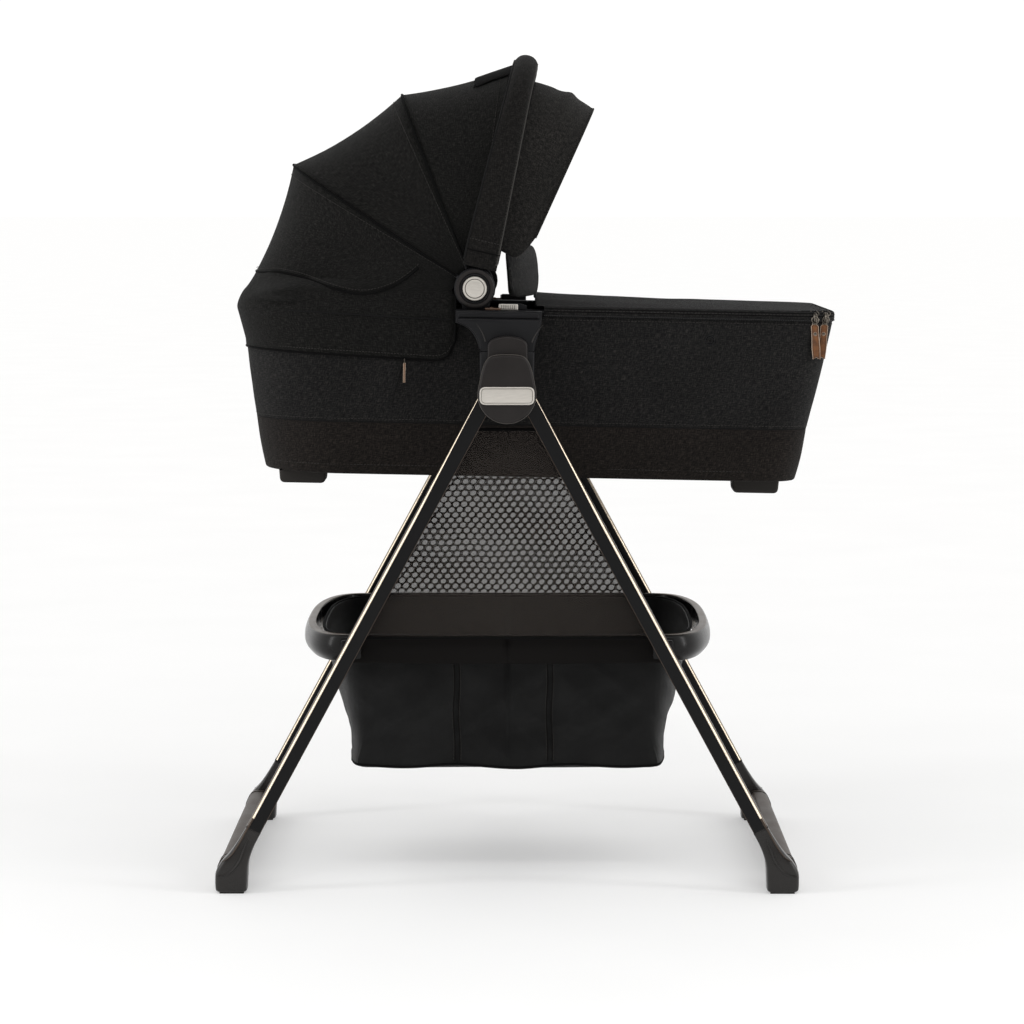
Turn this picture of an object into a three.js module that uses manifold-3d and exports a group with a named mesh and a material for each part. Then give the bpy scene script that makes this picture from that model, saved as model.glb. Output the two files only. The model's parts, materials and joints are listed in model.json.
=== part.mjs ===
// Bassinet on a folding stand, as a three.js scene graph of closed solids. Millimetres, +Z up.
// X runs from the head end (-) to the foot end (+) and Y across the bassinet. While the pieces
// are drawn, X is measured from the stand's hinge axis; the last group shifts them so that the
// origin lies on the floor, under the middle of the whole object. "Depth" is the distance from
// the middle plane Y = 0, so a piece made for one side is made the same way for the other.
import * as THREE from 'three';
import { mergeVertices } from 'three/addons/utils/BufferGeometryUtils.js';
import Module from 'manifold-3d';

const wasm = await Module();
wasm.setup();

// ---- Driving dimensions ----
const GAP = 0.3; // kept between pieces that touch
const OVERCUT = 1; // how far a cutting solid runs past what it cuts
const ROUND_SIDES = 24; // sides of a round pin, disc or button

const HUB_Z = 700; // height of the stand's hinge axis
const LEG_ANGLE = THREE.MathUtils.degToRad(28.4); // leg from the vertical
const LEG_OFFSET = 12; // hinge axis to the leg's inner edge
const LEG_WIDTH = 22; // seen from the side
const LEG_LENGTH = 690;
const LEG_INNER_DEPTH = 272;
const LEG_OUTER_DEPTH = 294;
const LEG_CHAMFER = 3.5;
const PIN_RADIUS = 5;
const PIN_PLAY = 0.3;
const KNUCKLE_RADIUS = 11;
const KNUCKLE_THICKNESS = 10;

const FOOT_INNER_DEPTH = 264;
const FOOT_OUTER_DEPTH = 300;
const FOOT_TIP_X = 411; // furthest reach of the shoe from the hinge axis
const PAD_HEIGHT = 4;
const BAR_OUTER_X = 409;
const BAR_INNER_X = 380;
const BAR_TOP_Z = 46;

const RING_TOP_Z = 361;
const RING_HEIGHT = 38;
const RING_REACH = 296; // hinge axis to the ring's outermost point
const RING_HALF_WIDTH = 258;
const RING_BAND = 14; // width of the ring's section
const RING_CORNER = 74;
const RING_ARM_END = 195;
const RING_BEVEL = 4;

const BAG_WALL = 4;
const BAG_BOTTOM_Z = 163;

const MESH_DEPTH = 262;
const MESH_THICKNESS = 2;
const MESH_BOTTOM_Z = 366;
const MESH_TOP_Z = 652;

const HOUSING_INNER_DEPTH = 240;
const HOUSING_OUTER_DEPTH = 271.5;
const COVER_INNER_DEPTH = 295;
const COVER_OUTER_DEPTH = 306;
const BADGE_THICKNESS = 2.7;

const TILT = THREE.MathUtils.degToRad(1.1); // the bassinet leans down towards its foot end
const TUB_BOTTOM_Z = 583;
const TUB_TOP_Z = 810;
const TUB_WALL = 10;
const TUB_CORNER = 120;
const RIM_HEIGHT = 12;

const PIVOT_X = -48; // canopy pivot
const PIVOT_Z = 846;
const CANOPY_HALF_WIDTH = 222;
const CANOPY_SKIN = 3;
const CANOPY_ROUNDNESS = 3.4; // exponent of the hoop's superellipse
const PANEL_START = 48; // a panel begins this far from the pivot axis
const HANDLE_HALF_WIDTH = 235;
const HANDLE_START = 33;
const HOOPS = {
  handle: { angle: 77.6, reach: 323 },
  front: { angle: 82, reach: 318 },
  middle: { angle: 112.5, reach: 297 },
  rear: { angle: 147.8, reach: 322 },
  tail: { angle: 177.4, reach: 322 },
};
const VISOR_HALF_WIDTH = 211;
const VISOR_REACH = 306;
const VISOR_EDGE_ANGLE = 64.2; // direction of the visor's straight front edge
const VISOR_EDGE_OFFSET = 48; // pivot axis to that edge's line
const VISOR_START = 104;

const NEAR = -1;
const FAR = 1;
const HEAD = -1;
const FOOT = 1;
const SIDES = { near: NEAR, far: FAR };
const ENDS = { head: HEAD, foot: FOOT };

// ---- Finishes ----
const finish = (color, roughness, metalness) =>
  new THREE.MeshStandardMaterial({ color, roughness, metalness });
const FINISH = {
  blackPlastic: finish(0x222121, 0.55, 0),
  greyPlastic: finish(0x34312f, 0.5, 0),
  glossPlastic: finish(0x1a1a1a, 0.2, 0),
  legPaint: finish(0x1d1c1b, 0.32, 0.4),
  barPaint: finish(0x584f4c, 0.4, 0.3),
  silver: finish(0xcbc7be, 0.3, 1),
  gunmetal: finish(0x4a4640, 0.35, 1),
  rubber: finish(0x1c1b1a, 0.9, 0),
  fabric: finish(0x1f1e1f, 0.95, 0),
  bandFabric: finish(0x1e1b19, 0.95, 0),
  mesh: finish(0x4a4541, 0.9, 0),
  bag: finish(0x1a1a1a, 0.85, 0),
  mattress: finish(0xd8d4cc, 0.9, 0),
  leather: finish(0x5a3c23, 0.6, 0),
};

// ---- Solids ----
const vec = (x, y, z) => new THREE.Vector3(x, y, z);

function merged(geometry) {
  const bare = geometry.index ? geometry.toNonIndexed() : geometry.clone();
  for (const name of Object.keys(bare.attributes)) {
    if (name !== 'position') bare.deleteAttribute(name);
  }
  return mergeVertices(bare, 1e-4);
}

function signedVolume(geometry) {
  const position = geometry.attributes.position;
  const index = geometry.index.array;
  const corner = (i) => new THREE.Vector3().fromBufferAttribute(position, index[i]);
  let sum = 0;
  for (let i = 0; i < index.length; i += 3) {
    sum += corner(i).dot(corner(i + 1).cross(corner(i + 2)));
  }
  return sum / 6;
}

function facingOut(geometry) {
  const solid = merged(geometry);
  if (signedVolume(solid) < 0) {
    const index = solid.index.array;
    for (let i = 0; i < index.length; i += 3) {
      [index[i + 1], index[i + 2]] = [index[i + 2], index[i + 1]];
    }
  }
  return solid;
}

function toManifold(geometry) {
  const solid = facingOut(geometry);
  return new wasm.Manifold(new wasm.Mesh({
    numProp: 3,
    vertProperties: new Float32Array(solid.attributes.position.array),
    triVerts: new Uint32Array(solid.index.array),
  }));
}

function toGeometry(manifold) {
  const mesh = manifold.getMesh();
  const geometry = new THREE.BufferGeometry();
  geometry.setAttribute('position', new THREE.BufferAttribute(mesh.vertProperties, 3));
  geometry.setIndex(new THREE.BufferAttribute(mesh.triVerts, 1));
  return geometry;
}

function join(first, ...others) {
  return toGeometry(others.reduce((sum, one) => sum.add(toManifold(one)), toManifold(first)));
}

function cut(body, ...tools) {
  return toGeometry(tools.reduce((rest, one) => rest.subtract(toManifold(one)), toManifold(body)));
}

function keepInside(body, tool) {
  return toGeometry(toManifold(body).intersect(toManifold(tool)));
}

function triangles(points, faces) {
  const geometry = new THREE.BufferGeometry();
  const flat = points.flatMap((p) => [p.x, p.y, p.z]);
  geometry.setAttribute('position', new THREE.Float32BufferAttribute(flat, 3));
  geometry.setIndex(faces);
  return geometry;
}

// A closed solid through loops of points of equal count, capped at both ends.
function loft(rings) {
  const count = rings[0].length;
  const points = rings.flat();
  const faces = [];
  for (let i = 0; i + 1 < rings.length; i += 1) {
    for (let j = 0; j < count; j += 1) {
      const a = i * count + j;
      const b = i * count + ((j + 1) % count);
      faces.push(a, b, b + count, a, b + count, a + count);
    }
  }
  for (const [ring, flip] of [[0, true], [rings.length - 1, false]]) {
    const centre = points.length;
    const middle = vec(0, 0, 0);
    rings[ring].forEach((p) => middle.addScaledVector(p, 1 / count));
    points.push(middle);
    for (let j = 0; j < count; j += 1) {
      const a = ring * count + j;
      const b = ring * count + ((j + 1) % count);
      faces.push(...(flip ? [centre, b, a] : [centre, a, b]));
    }
  }
  return triangles(points, faces);
}

// A closed solid between two grids of points, an outer and an inner skin.
function skinSolid(outer, inner) {
  const rows = outer.length;
  const columns = outer[0].length;
  const points = [...outer.flat(), ...inner.flat()];
  const at = (layer, i, j) => layer * rows * columns + i * columns + j;
  const faces = [];
  const quad = (a, b, c, d) => faces.push(a, b, c, a, c, d);
  for (let i = 0; i + 1 < rows; i += 1) {
    for (let j = 0; j + 1 < columns; j += 1) {
      quad(at(0, i, j), at(0, i + 1, j), at(0, i + 1, j + 1), at(0, i, j + 1));
      quad(at(1, i, j), at(1, i, j + 1), at(1, i + 1, j + 1), at(1, i + 1, j));
    }
  }
  for (let i = 0; i + 1 < rows; i += 1) {
    quad(at(0, i, 0), at(1, i, 0), at(1, i + 1, 0), at(0, i + 1, 0));
    const last = columns - 1;
    quad(at(0, i, last), at(0, i + 1, last), at(1, i + 1, last), at(1, i, last));
  }
  for (let j = 0; j + 1 < columns; j += 1) {
    quad(at(0, 0, j), at(0, 0, j + 1), at(1, 0, j + 1), at(1, 0, j));
    const last = rows - 1;
    quad(at(0, last, j), at(1, last, j), at(1, last, j + 1), at(0, last, j + 1));
  }
  return triangles(points, faces);
}

// A flat outline drawn with x along X and y along Z, standing between two depths of one side.
function plate(shape, innerDepth, outerDepth, side, curveSegments = 8) {
  const geometry = new THREE.ExtrudeGeometry(shape, {
    depth: outerDepth - innerDepth,
    bevelEnabled: false,
    curveSegments,
  });
  geometry.rotateX(Math.PI / 2);
  return geometry.translate(0, side > 0 ? outerDepth : -innerDepth, 0);
}

function box(x0, x1, y0, y1, z0, z1) {
  const geometry = new THREE.BoxGeometry(x1 - x0, y1 - y0, z1 - z0);
  return geometry.translate((x0 + x1) / 2, (y0 + y1) / 2, (z0 + z1) / 2);
}

function sideBox(x0, x1, innerDepth, outerDepth, z0, z1, side) {
  const depths = [side * innerDepth, side * outerDepth].sort((a, b) => a - b);
  return box(x0, x1, depths[0], depths[1], z0, z1);
}

// A round piece on an axis along Y, standing between two depths of one side.
function disc(radius, innerDepth, outerDepth, side, x, z, sides = ROUND_SIDES) {
  const length = outerDepth - innerDepth;
  const geometry = new THREE.CylinderGeometry(radius, radius, length, sides);
  return geometry.translate(x, (side * (innerDepth + outerDepth)) / 2, z);
}

function polygon(points) {
  return new THREE.Shape(points.map(([x, z]) => new THREE.Vector2(x, z)));
}

function mirrorX(geometry) {
  return geometry.clone().applyMatrix4(new THREE.Matrix4().makeScale(-1, 1, 1));
}

const atEnd = (geometry, end) => (end === HEAD ? geometry : mirrorX(geometry));

// A rounded rectangle in plan, as a loop of points at one height.
function planLoop({ x0, x1, halfWidth, corner }, z, steps = 7) {
  const loop = [];
  const corners = [
    [x1 - corner, halfWidth - corner, 0],
    [x0 + corner, halfWidth - corner, 1],
    [x0 + corner, corner - halfWidth, 2],
    [x1 - corner, corner - halfWidth, 3],
  ];
  for (const [x, y, turn] of corners) {
    for (let i = 0; i <= steps; i += 1) {
      const angle = (turn + i / steps) * (Math.PI / 2);
      loop.push(vec(x + corner * Math.cos(angle), y + corner * Math.sin(angle), z));
    }
  }
  return loop;
}

const inset = ({ x0, x1, halfWidth, corner }, by) => ({
  x0: x0 + by,
  x1: x1 - by,
  halfWidth: halfWidth - by,
  corner: corner - by,
});

// ---- The stand: hubs ----
function hubHousing(side) {
  const lobe = new THREE.Shape();
  const lobeRadius = 36;
  lobe.moveTo(-38, 757);
  lobe.lineTo(-lobeRadius, HUB_Z);
  lobe.absarc(0, HUB_Z, lobeRadius, Math.PI, 2 * Math.PI, false);
  lobe.lineTo(38, 757);
  const block = plate(lobe, HOUSING_INNER_DEPTH, HOUSING_OUTER_DEPTH, side);
  const frontWall = new THREE.Shape();
  frontWall.moveTo(-25, 722);
  frontWall.lineTo(25, 722);
  frontWall.lineTo(25, 768);
  frontWall.quadraticCurveTo(23, 780, 10, 781);
  frontWall.lineTo(-10, 781);
  frontWall.quadraticCurveTo(-23, 780, -25, 768);
  const insert = plate(frontWall, HOUSING_OUTER_DEPTH - 5, LEG_OUTER_DEPTH - 4, side);
  const pocket = sideBox(-34, 34, 246, 266, 694, 760, side);
  const bore = disc(PIN_RADIUS + PIN_PLAY, 250, 280, side, 0, HUB_Z);
  return cut(join(block, insert), pocket, bore);
}

function hubPin(side) {
  return disc(PIN_RADIUS, 267, COVER_INNER_DEPTH - GAP, side, 0, HUB_Z);
}

function hubCover(side) {
  const arch = new THREE.Shape();
  const lobeRadius = 40;
  arch.moveTo(-lobeRadius, 704);
  arch.absarc(0, HUB_Z + 2, lobeRadius, Math.PI, 2 * Math.PI, false);
  arch.lineTo(lobeRadius, 706);
  arch.quadraticCurveTo(34, 746, 27, 754);
  arch.quadraticCurveTo(23, 758, 14, 758);
  arch.lineTo(-14, 758);
  arch.quadraticCurveTo(-23, 758, -27, 754);
  arch.quadraticCurveTo(-34, 746, -lobeRadius, 706);
  return plate(arch, COVER_INNER_DEPTH, COVER_OUTER_DEPTH, side);
}

function roundedRectangle(x0, x1, z0, z1, corner) {
  const shape = new THREE.Shape();
  shape.moveTo(x0 + corner, z0);
  shape.lineTo(x1 - corner, z0);
  shape.absarc(x1 - corner, z0 + corner, corner, -Math.PI / 2, 0, false);
  shape.lineTo(x1, z1 - corner);
  shape.absarc(x1 - corner, z1 - corner, corner, 0, Math.PI / 2, false);
  shape.lineTo(x0 + corner, z1);
  shape.absarc(x0 + corner, z1 - corner, corner, Math.PI / 2, Math.PI, false);
  shape.lineTo(x0, z0 + corner);
  shape.absarc(x0 + corner, z0 + corner, corner, Math.PI, 1.5 * Math.PI, false);
  return shape;
}

function hubBadge(side) {
  const face = roundedRectangle(-38, 38, 688, 713, 8);
  const back = COVER_OUTER_DEPTH + GAP;
  return plate(face, back, back + BADGE_THICKNESS, side, 5);
}

// ---- The stand: leg frames ----
// A point of the head-end leg, from its distance along the leg and across it.
function legPoint(along, across) {
  const sine = Math.sin(LEG_ANGLE);
  const cosine = Math.cos(LEG_ANGLE);
  return [-sine * along - cosine * across, HUB_Z - cosine * along + sine * across];
}

function legSection(along, side) {
  const inner = LEG_OFFSET;
  const outer = LEG_OFFSET + LEG_WIDTH;
  const c = LEG_CHAMFER;
  const outline = [
    [inner + c, LEG_INNER_DEPTH], [outer - c, LEG_INNER_DEPTH],
    [outer, LEG_INNER_DEPTH + c], [outer, LEG_OUTER_DEPTH - c],
    [outer - c, LEG_OUTER_DEPTH], [inner + c, LEG_OUTER_DEPTH],
    [inner, LEG_OUTER_DEPTH - c], [inner, LEG_INNER_DEPTH + c],
  ];
  return outline.map(([across, depth]) => {
    const [x, z] = legPoint(along, across);
    return vec(x, side * depth, z);
  });
}

// The head end's knuckles turn outside the foot end's, on the same pin.
function leg(side, end) {
  const bar = loft([legSection(0, side), legSection(LEG_LENGTH, side)]);
  const start = end === HEAD ? LEG_OUTER_DEPTH - KNUCKLE_THICKNESS : LEG_INNER_DEPTH;
  const stop = start + KNUCKLE_THICKNESS;
  const ear = disc(KNUCKLE_RADIUS, start, stop, side, 0, HUB_Z);
  const web = plate(polygon([
    legPoint(-8, 0), legPoint(14, 0), legPoint(14, LEG_OFFSET + 8), legPoint(0, LEG_OFFSET + 8),
  ]), start, stop, side);
  const bore = disc(PIN_RADIUS + PIN_PLAY, 260, 300, side, 0, HUB_Z);
  return atEnd(cut(join(bar, web, ear), bore), end);
}

function shoeOutline() {
  const shape = new THREE.Shape();
  const sole = PAD_HEIGHT + GAP;
  const top = LEG_LENGTH + GAP;
  shape.moveTo(...legPoint(top, LEG_OFFSET));
  shape.lineTo(...legPoint(top, LEG_OFFSET + LEG_WIDTH));
  shape.lineTo(-384, 62);
  shape.quadraticCurveTo(-393, 44, -404, 38);
  shape.quadraticCurveTo(-FOOT_TIP_X, 34, -FOOT_TIP_X, 26);
  shape.lineTo(-FOOT_TIP_X, 14);
  shape.quadraticCurveTo(-FOOT_TIP_X, sole, -399, sole);
  shape.lineTo(-374, sole);
  shape.quadraticCurveTo(-364, sole, -364, 14);
  shape.quadraticCurveTo(-365, 42, -357, 60);
  return shape;
}

function shoe(side, end) {
  return atEnd(plate(shoeOutline(), FOOT_INNER_DEPTH, FOOT_OUTER_DEPTH, side, 5), end);
}

function shoePad(side, end) {
  const pad = sideBox(-404, -370, FOOT_INNER_DEPTH + 4, FOOT_OUTER_DEPTH - 4, 0, PAD_HEIGHT, side);
  return atEnd(pad, end);
}

function footBar(end) {
  const section = polygon([
    [-BAR_OUTER_X + 3, 8], [-BAR_OUTER_X, 12], [-BAR_OUTER_X, 26], [-BAR_OUTER_X + 5, 34],
    [-BAR_INNER_X - 4, BAR_TOP_Z], [-BAR_INNER_X, BAR_TOP_Z - 5], [-BAR_INNER_X, 12],
    [-BAR_INNER_X - 4, 8],
  ]);
  const reach = FOOT_INNER_DEPTH - GAP;
  return atEnd(plate(section, -reach, reach, FAR), end);
}

// One rigid end of the basket's rim: a U in plan, with a lug to the leg on each side.
function ringEnd(end) {
  const outerCorner = RING_CORNER;
  const innerCorner = RING_CORNER - RING_BAND + 2 * RING_BEVEL;
  const outer = { x: RING_REACH - RING_BEVEL, y: RING_HALF_WIDTH - RING_BEVEL };
  const core = RING_BAND - 2 * RING_BEVEL;
  const inner = { x: outer.x - core, y: outer.y - core };
  const hook = new THREE.Shape();
  hook.moveTo(-RING_ARM_END, -outer.y);
  hook.lineTo(-outer.x + outerCorner, -outer.y);
  hook.absarc(-outer.x + outerCorner, -outer.y + outerCorner, outerCorner,
    -Math.PI / 2, -Math.PI, true);
  hook.lineTo(-outer.x, outer.y - outerCorner);
  hook.absarc(-outer.x + outerCorner, outer.y - outerCorner, outerCorner,
    Math.PI, Math.PI / 2, true);
  hook.lineTo(-RING_ARM_END, outer.y);
  hook.lineTo(-RING_ARM_END, inner.y);
  hook.lineTo(-inner.x + innerCorner, inner.y);
  hook.absarc(-inner.x + innerCorner, inner.y - innerCorner, innerCorner,
    Math.PI / 2, Math.PI, false);
  hook.lineTo(-inner.x, -inner.y + innerCorner);
  hook.absarc(-inner.x + innerCorner, -inner.y + innerCorner, innerCorner,
    Math.PI, 1.5 * Math.PI, false);
  hook.lineTo(-RING_ARM_END, -inner.y);
  const rim = new THREE.ExtrudeGeometry(hook, {
    depth: RING_HEIGHT - 2 * RING_BEVEL,
    bevelThickness: RING_BEVEL,
    bevelSize: RING_BEVEL,
    bevelSegments: 1,
    curveSegments: 8,
  }).translate(0, 0, RING_TOP_Z - RING_HEIGHT + RING_BEVEL);
  const lugs = [NEAR, FAR].map((side) => sideBox(-230, -208, RING_HALF_WIDTH - 3,
    LEG_INNER_DEPTH - GAP, RING_TOP_Z - RING_HEIGHT + 6, RING_TOP_Z - 6, side));
  return atEnd(join(rim, ...lugs), end);
}

// ---- The stand: storage basket and side nets ----
function basketBag() {
  const top = { x0: -274, x1: 274, halfWidth: 237, corner: 68 };
  const waist = { x0: -247, x1: 247, halfWidth: 226, corner: 58 };
  const base = { x0: -227, x1: 227, halfWidth: 205, corner: 50 };
  const brim = RING_TOP_Z - 3;
  const outer = loft([
    planLoop(inset(base, 6), BAG_BOTTOM_Z), planLoop(base, BAG_BOTTOM_Z + 8),
    planLoop(waist, 275), planLoop(top, RING_TOP_Z - RING_HEIGHT), planLoop(top, brim),
  ]);
  const hollow = loft([
    planLoop(inset(base, BAG_WALL), BAG_BOTTOM_Z + BAG_WALL + 4),
    planLoop(inset(waist, BAG_WALL), 275), planLoop(inset(top, BAG_WALL), RING_TOP_Z - RING_HEIGHT),
    planLoop(inset(top, BAG_WALL), brim + OVERCUT),
  ]);
  const bandEnd = RING_ARM_END - RING_BEVEL - 2;
  const bands = [NEAR, FAR].map((side) => sideBox(-bandEnd, bandEnd, 234, RING_HALF_WIDTH - 4,
    RING_TOP_Z - RING_HEIGHT, brim, side));
  return cut(join(outer, ...bands), hollow);
}

function sideNet(side) {
  const slope = Math.tan(LEG_ANGLE);
  const behindLeg = 26;
  const halfWidthAt = (z) => (HUB_Z - z) * slope + behindLeg;
  const bottom = halfWidthAt(MESH_BOTTOM_Z);
  const top = halfWidthAt(MESH_TOP_Z);
  return plate(polygon([
    [-bottom, MESH_BOTTOM_Z], [bottom, MESH_BOTTOM_Z], [top, MESH_TOP_Z], [-top, MESH_TOP_Z],
  ]), MESH_DEPTH, MESH_DEPTH + MESH_THICKNESS, side);
}

// ---- The bassinet: tub ----
const TUB_BASE = { x0: -350, x1: 421, halfWidth: 193, corner: TUB_CORNER };
const TUB_SEAM = { x0: -366, x1: 435, halfWidth: 201, corner: TUB_CORNER };
const TUB_BRIM = { x0: -387, x1: 469, halfWidth: 213, corner: TUB_CORNER };
const SEAM_Z = 654;

// The tub's outline in plan at a height, moved in by a wall or out by a cover.
function tubPlan(z, by = 0) {
  const [low, high, from, to] = z < SEAM_Z
    ? [TUB_BASE, TUB_SEAM, TUB_BOTTOM_Z, SEAM_Z]
    : [TUB_SEAM, TUB_BRIM, SEAM_Z, TUB_TOP_Z];
  const t = (z - from) / (to - from);
  const mix = (name) => low[name] + (high[name] - low[name]) * t;
  const plan = { x0: mix('x0'), x1: mix('x1'), halfWidth: mix('halfWidth'), corner: mix('corner') };
  return inset(plan, by);
}

const tubLoop = (z, by = 0) => planLoop(tubPlan(z, by), z);

function tubShell() {
  const floor = TUB_BOTTOM_Z + 12;
  const outer = loft([
    planLoop(tubPlan(TUB_BOTTOM_Z, 8), TUB_BOTTOM_Z), tubLoop(TUB_BOTTOM_Z + 8),
    tubLoop(SEAM_Z), tubLoop(TUB_TOP_Z),
  ]);
  const hollow = loft([
    tubLoop(floor, TUB_WALL), tubLoop(SEAM_Z, TUB_WALL), tubLoop(TUB_TOP_Z + OVERCUT, TUB_WALL),
  ]);
  return cut(outer, hollow);
}

function slab(z0, z1, by, ease = 0) {
  const rings = [tubLoop(z0, by + ease)];
  if (ease > 0) {
    rings.push(tubLoop(z0 + ease, by), tubLoop(z1 - ease, by));
  }
  rings.push(tubLoop(z1, by + ease));
  return loft(rings);
}

const baseBoard = () => slab(TUB_BOTTOM_Z + 12 + GAP, TUB_BOTTOM_Z + 17, TUB_WALL + 2);
const mattress = () => slab(TUB_BOTTOM_Z + 17 + GAP, TUB_BOTTOM_Z + 50, TUB_WALL + 3, 8);

function rimFrame() {
  const low = TUB_TOP_Z + GAP;
  const high = TUB_TOP_Z + RIM_HEIGHT;
  const outer = loft([planLoop(tubPlan(TUB_TOP_Z, 3), low), planLoop(tubPlan(TUB_TOP_Z, 3), high)]);
  const inner = loft([
    planLoop(tubPlan(TUB_TOP_Z, 15), low - OVERCUT),
    planLoop(tubPlan(TUB_TOP_Z, 15), high + OVERCUT),
  ]);
  return cut(outer, inner);
}

function bassinetFoot(side, end) {
  const x = end === HEAD ? -291 : 358;
  const foot = new THREE.Shape();
  foot.moveTo(x - 34, TUB_BOTTOM_Z - GAP);
  foot.lineTo(x - 32, TUB_BOTTOM_Z - 16);
  foot.quadraticCurveTo(x - 31, TUB_BOTTOM_Z - 21, x - 25, TUB_BOTTOM_Z - 21);
  foot.lineTo(x + 25, TUB_BOTTOM_Z - 21);
  foot.quadraticCurveTo(x + 31, TUB_BOTTOM_Z - 21, x + 32, TUB_BOTTOM_Z - 16);
  foot.lineTo(x + 34, TUB_BOTTOM_Z - GAP);
  return plate(foot, 96, 148, side, 3);
}

// ---- The bassinet: side mounts and their release slides ----
const MOUNT_LEFT = -66;
const MOUNT_RIGHT = 55;

function sideMount(side) {
  const tee = new THREE.Shape();
  tee.moveTo(MOUNT_LEFT, 816);
  tee.lineTo(MOUNT_LEFT, 796);
  tee.quadraticCurveTo(-44, 789, -40, 768);
  tee.lineTo(-40, 760);
  tee.lineTo(38, 760);
  tee.lineTo(38, 768);
  tee.quadraticCurveTo(42, 786, MOUNT_RIGHT, 797);
  tee.lineTo(MOUNT_RIGHT, 816);
  const block = plate(tee, 217, 263, side);
  const tongue = sideBox(-31, 31, 249, 263, 698, 765, side);
  const ear = new THREE.Shape();
  ear.moveTo(-66, 812);
  ear.lineTo(-26, 812);
  ear.lineTo(-26, PIVOT_Z);
  ear.absarc(PIVOT_X, PIVOT_Z, 22, 0, Math.PI * 0.8, false);
  ear.lineTo(-66, 846);
  const earPlate = plate(ear, 219, 227, side);
  const step = sideBox(MOUNT_LEFT, -26, 219, 236, 812, 815, side);
  const pin = disc(PIN_RADIUS, 221, 237, side, PIVOT_X, PIVOT_Z, 16);
  const slot = sideBox(-12, 26, 224, 236, 812, 819, side);
  return cut(join(block, tongue, earPlate, step, pin), slot);
}

function releaseSlide(side) {
  const thumb = sideBox(-10, 10, 225, 235, 813, 825, side);
  const rod = sideBox(-10, 10, 227, 233, 812.5, 816, side);
  return join(thumb, rod);
}

// ---- The bassinet: head-end skirt and boot cover ----
function canopySkirt() {
  const hem = 745;
  const bulge = 812;
  const outer = loft([
    planLoop(tubPlan(hem, -5), hem), planLoop(tubPlan(TUB_TOP_Z, -8), bulge),
    planLoop(tubPlan(TUB_TOP_Z, -6), 826), planLoop(tubPlan(TUB_TOP_Z, 6), PIVOT_Z - 2),
  ]);
  const hollow = loft([
    planLoop(tubPlan(hem, -1), hem - OVERCUT), planLoop(tubPlan(TUB_TOP_Z, -3), bulge),
    planLoop(tubPlan(TUB_TOP_Z, -1), 826), planLoop(tubPlan(TUB_TOP_Z, 10), PIVOT_Z),
  ]);
  const front = MOUNT_LEFT - 2.5;
  const lower = box(-500, front, -300, 300, hem - 5, 826);
  const upper = box(-500, PIVOT_X - PANEL_START, -300, 300, 825, 850);
  const corner = box(front - 24, front + 1, -300, 300, hem - 6, hem + 13);
  return cut(keepInside(cut(outer, hollow), join(lower, upper)), corner);
}

const COVER_START = 24;

function bootCover() {
  const low = TUB_TOP_Z + GAP;
  const crown = 831;
  const outer = loft([
    planLoop(tubPlan(TUB_TOP_Z, -2), low), planLoop(tubPlan(TUB_TOP_Z, -2), crown - 7),
    planLoop(tubPlan(TUB_TOP_Z, 6), crown),
  ]);
  const hollow = loft([
    planLoop(tubPlan(TUB_TOP_Z, 2), low - OVERCUT),
    planLoop(tubPlan(TUB_TOP_Z, 2), TUB_TOP_Z + RIM_HEIGHT + 1),
  ]);
  const band = MOUNT_RIGHT + 1.5;
  const top = box(COVER_START, 600, -216, 216, TUB_TOP_Z + RIM_HEIGHT - 1, crown + OVERCUT);
  const edge = box(band, 600, -300, 300, low - OVERCUT, crown + OVERCUT);
  return keepInside(cut(outer, hollow), join(top, edge));
}

// A padded lip standing across the tub, bowed towards the foot end in plan.
function coverFlap() {
  const bow = 30;
  const halfWidth = 192;
  const steps = 10;
  const skinAt = (x0, lean) => Array.from({ length: steps + 1 }, (_, i) => {
    const y = halfWidth * (2 * i / steps - 1);
    const x = x0 - bow * (y / halfWidth) ** 2;
    return [vec(x + 4, y, 834), vec(x + lean, y, 868), vec(x + lean, y, 896), vec(x, y, 905)];
  });
  return skinSolid(skinAt(38, 0), skinAt(26, -1));
}

function zipSlider(x, depth) {
  return sideBox(x - 5, x + 5, depth, depth + 5, 798, 806, NEAR);
}

function zipPull(x, depth, top) {
  const tab = roundedRectangle(x - 5.5, x + 5.5, top - 40, top, 4);
  return plate(tab, depth, depth + 3, NEAR, 3);
}

// ---- The canopy ----
// A hoop is a superellipse across the bassinet, from the pivot on one side to the other.
// Its points are given as the distance from the pivot axis and the place across.
function hoopPoint(turn, reach, halfWidth) {
  const power = 2 / CANOPY_ROUNDNESS;
  const across = Math.cos(turn);
  return {
    out: reach * Math.sin(turn) ** power,
    y: -halfWidth * Math.sign(across) * Math.abs(across) ** power,
  };
}

// The turn at which a hoop has reached a given distance from the pivot axis.
function hoopStart(out, reach) {
  return Math.asin((out / reach) ** (CANOPY_ROUNDNESS / 2));
}

function aroundPivot(out, y, degrees) {
  const angle = THREE.MathUtils.degToRad(degrees);
  return vec(PIVOT_X + out * Math.cos(angle), y, PIVOT_Z + out * Math.sin(angle));
}

const HOOP_STEPS = 22;

function hoopTurns(from, steps = HOOP_STEPS) {
  return Array.from({ length: steps + 1 }, (_, i) => from + (Math.PI - 2 * from) * (i / steps));
}

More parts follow.
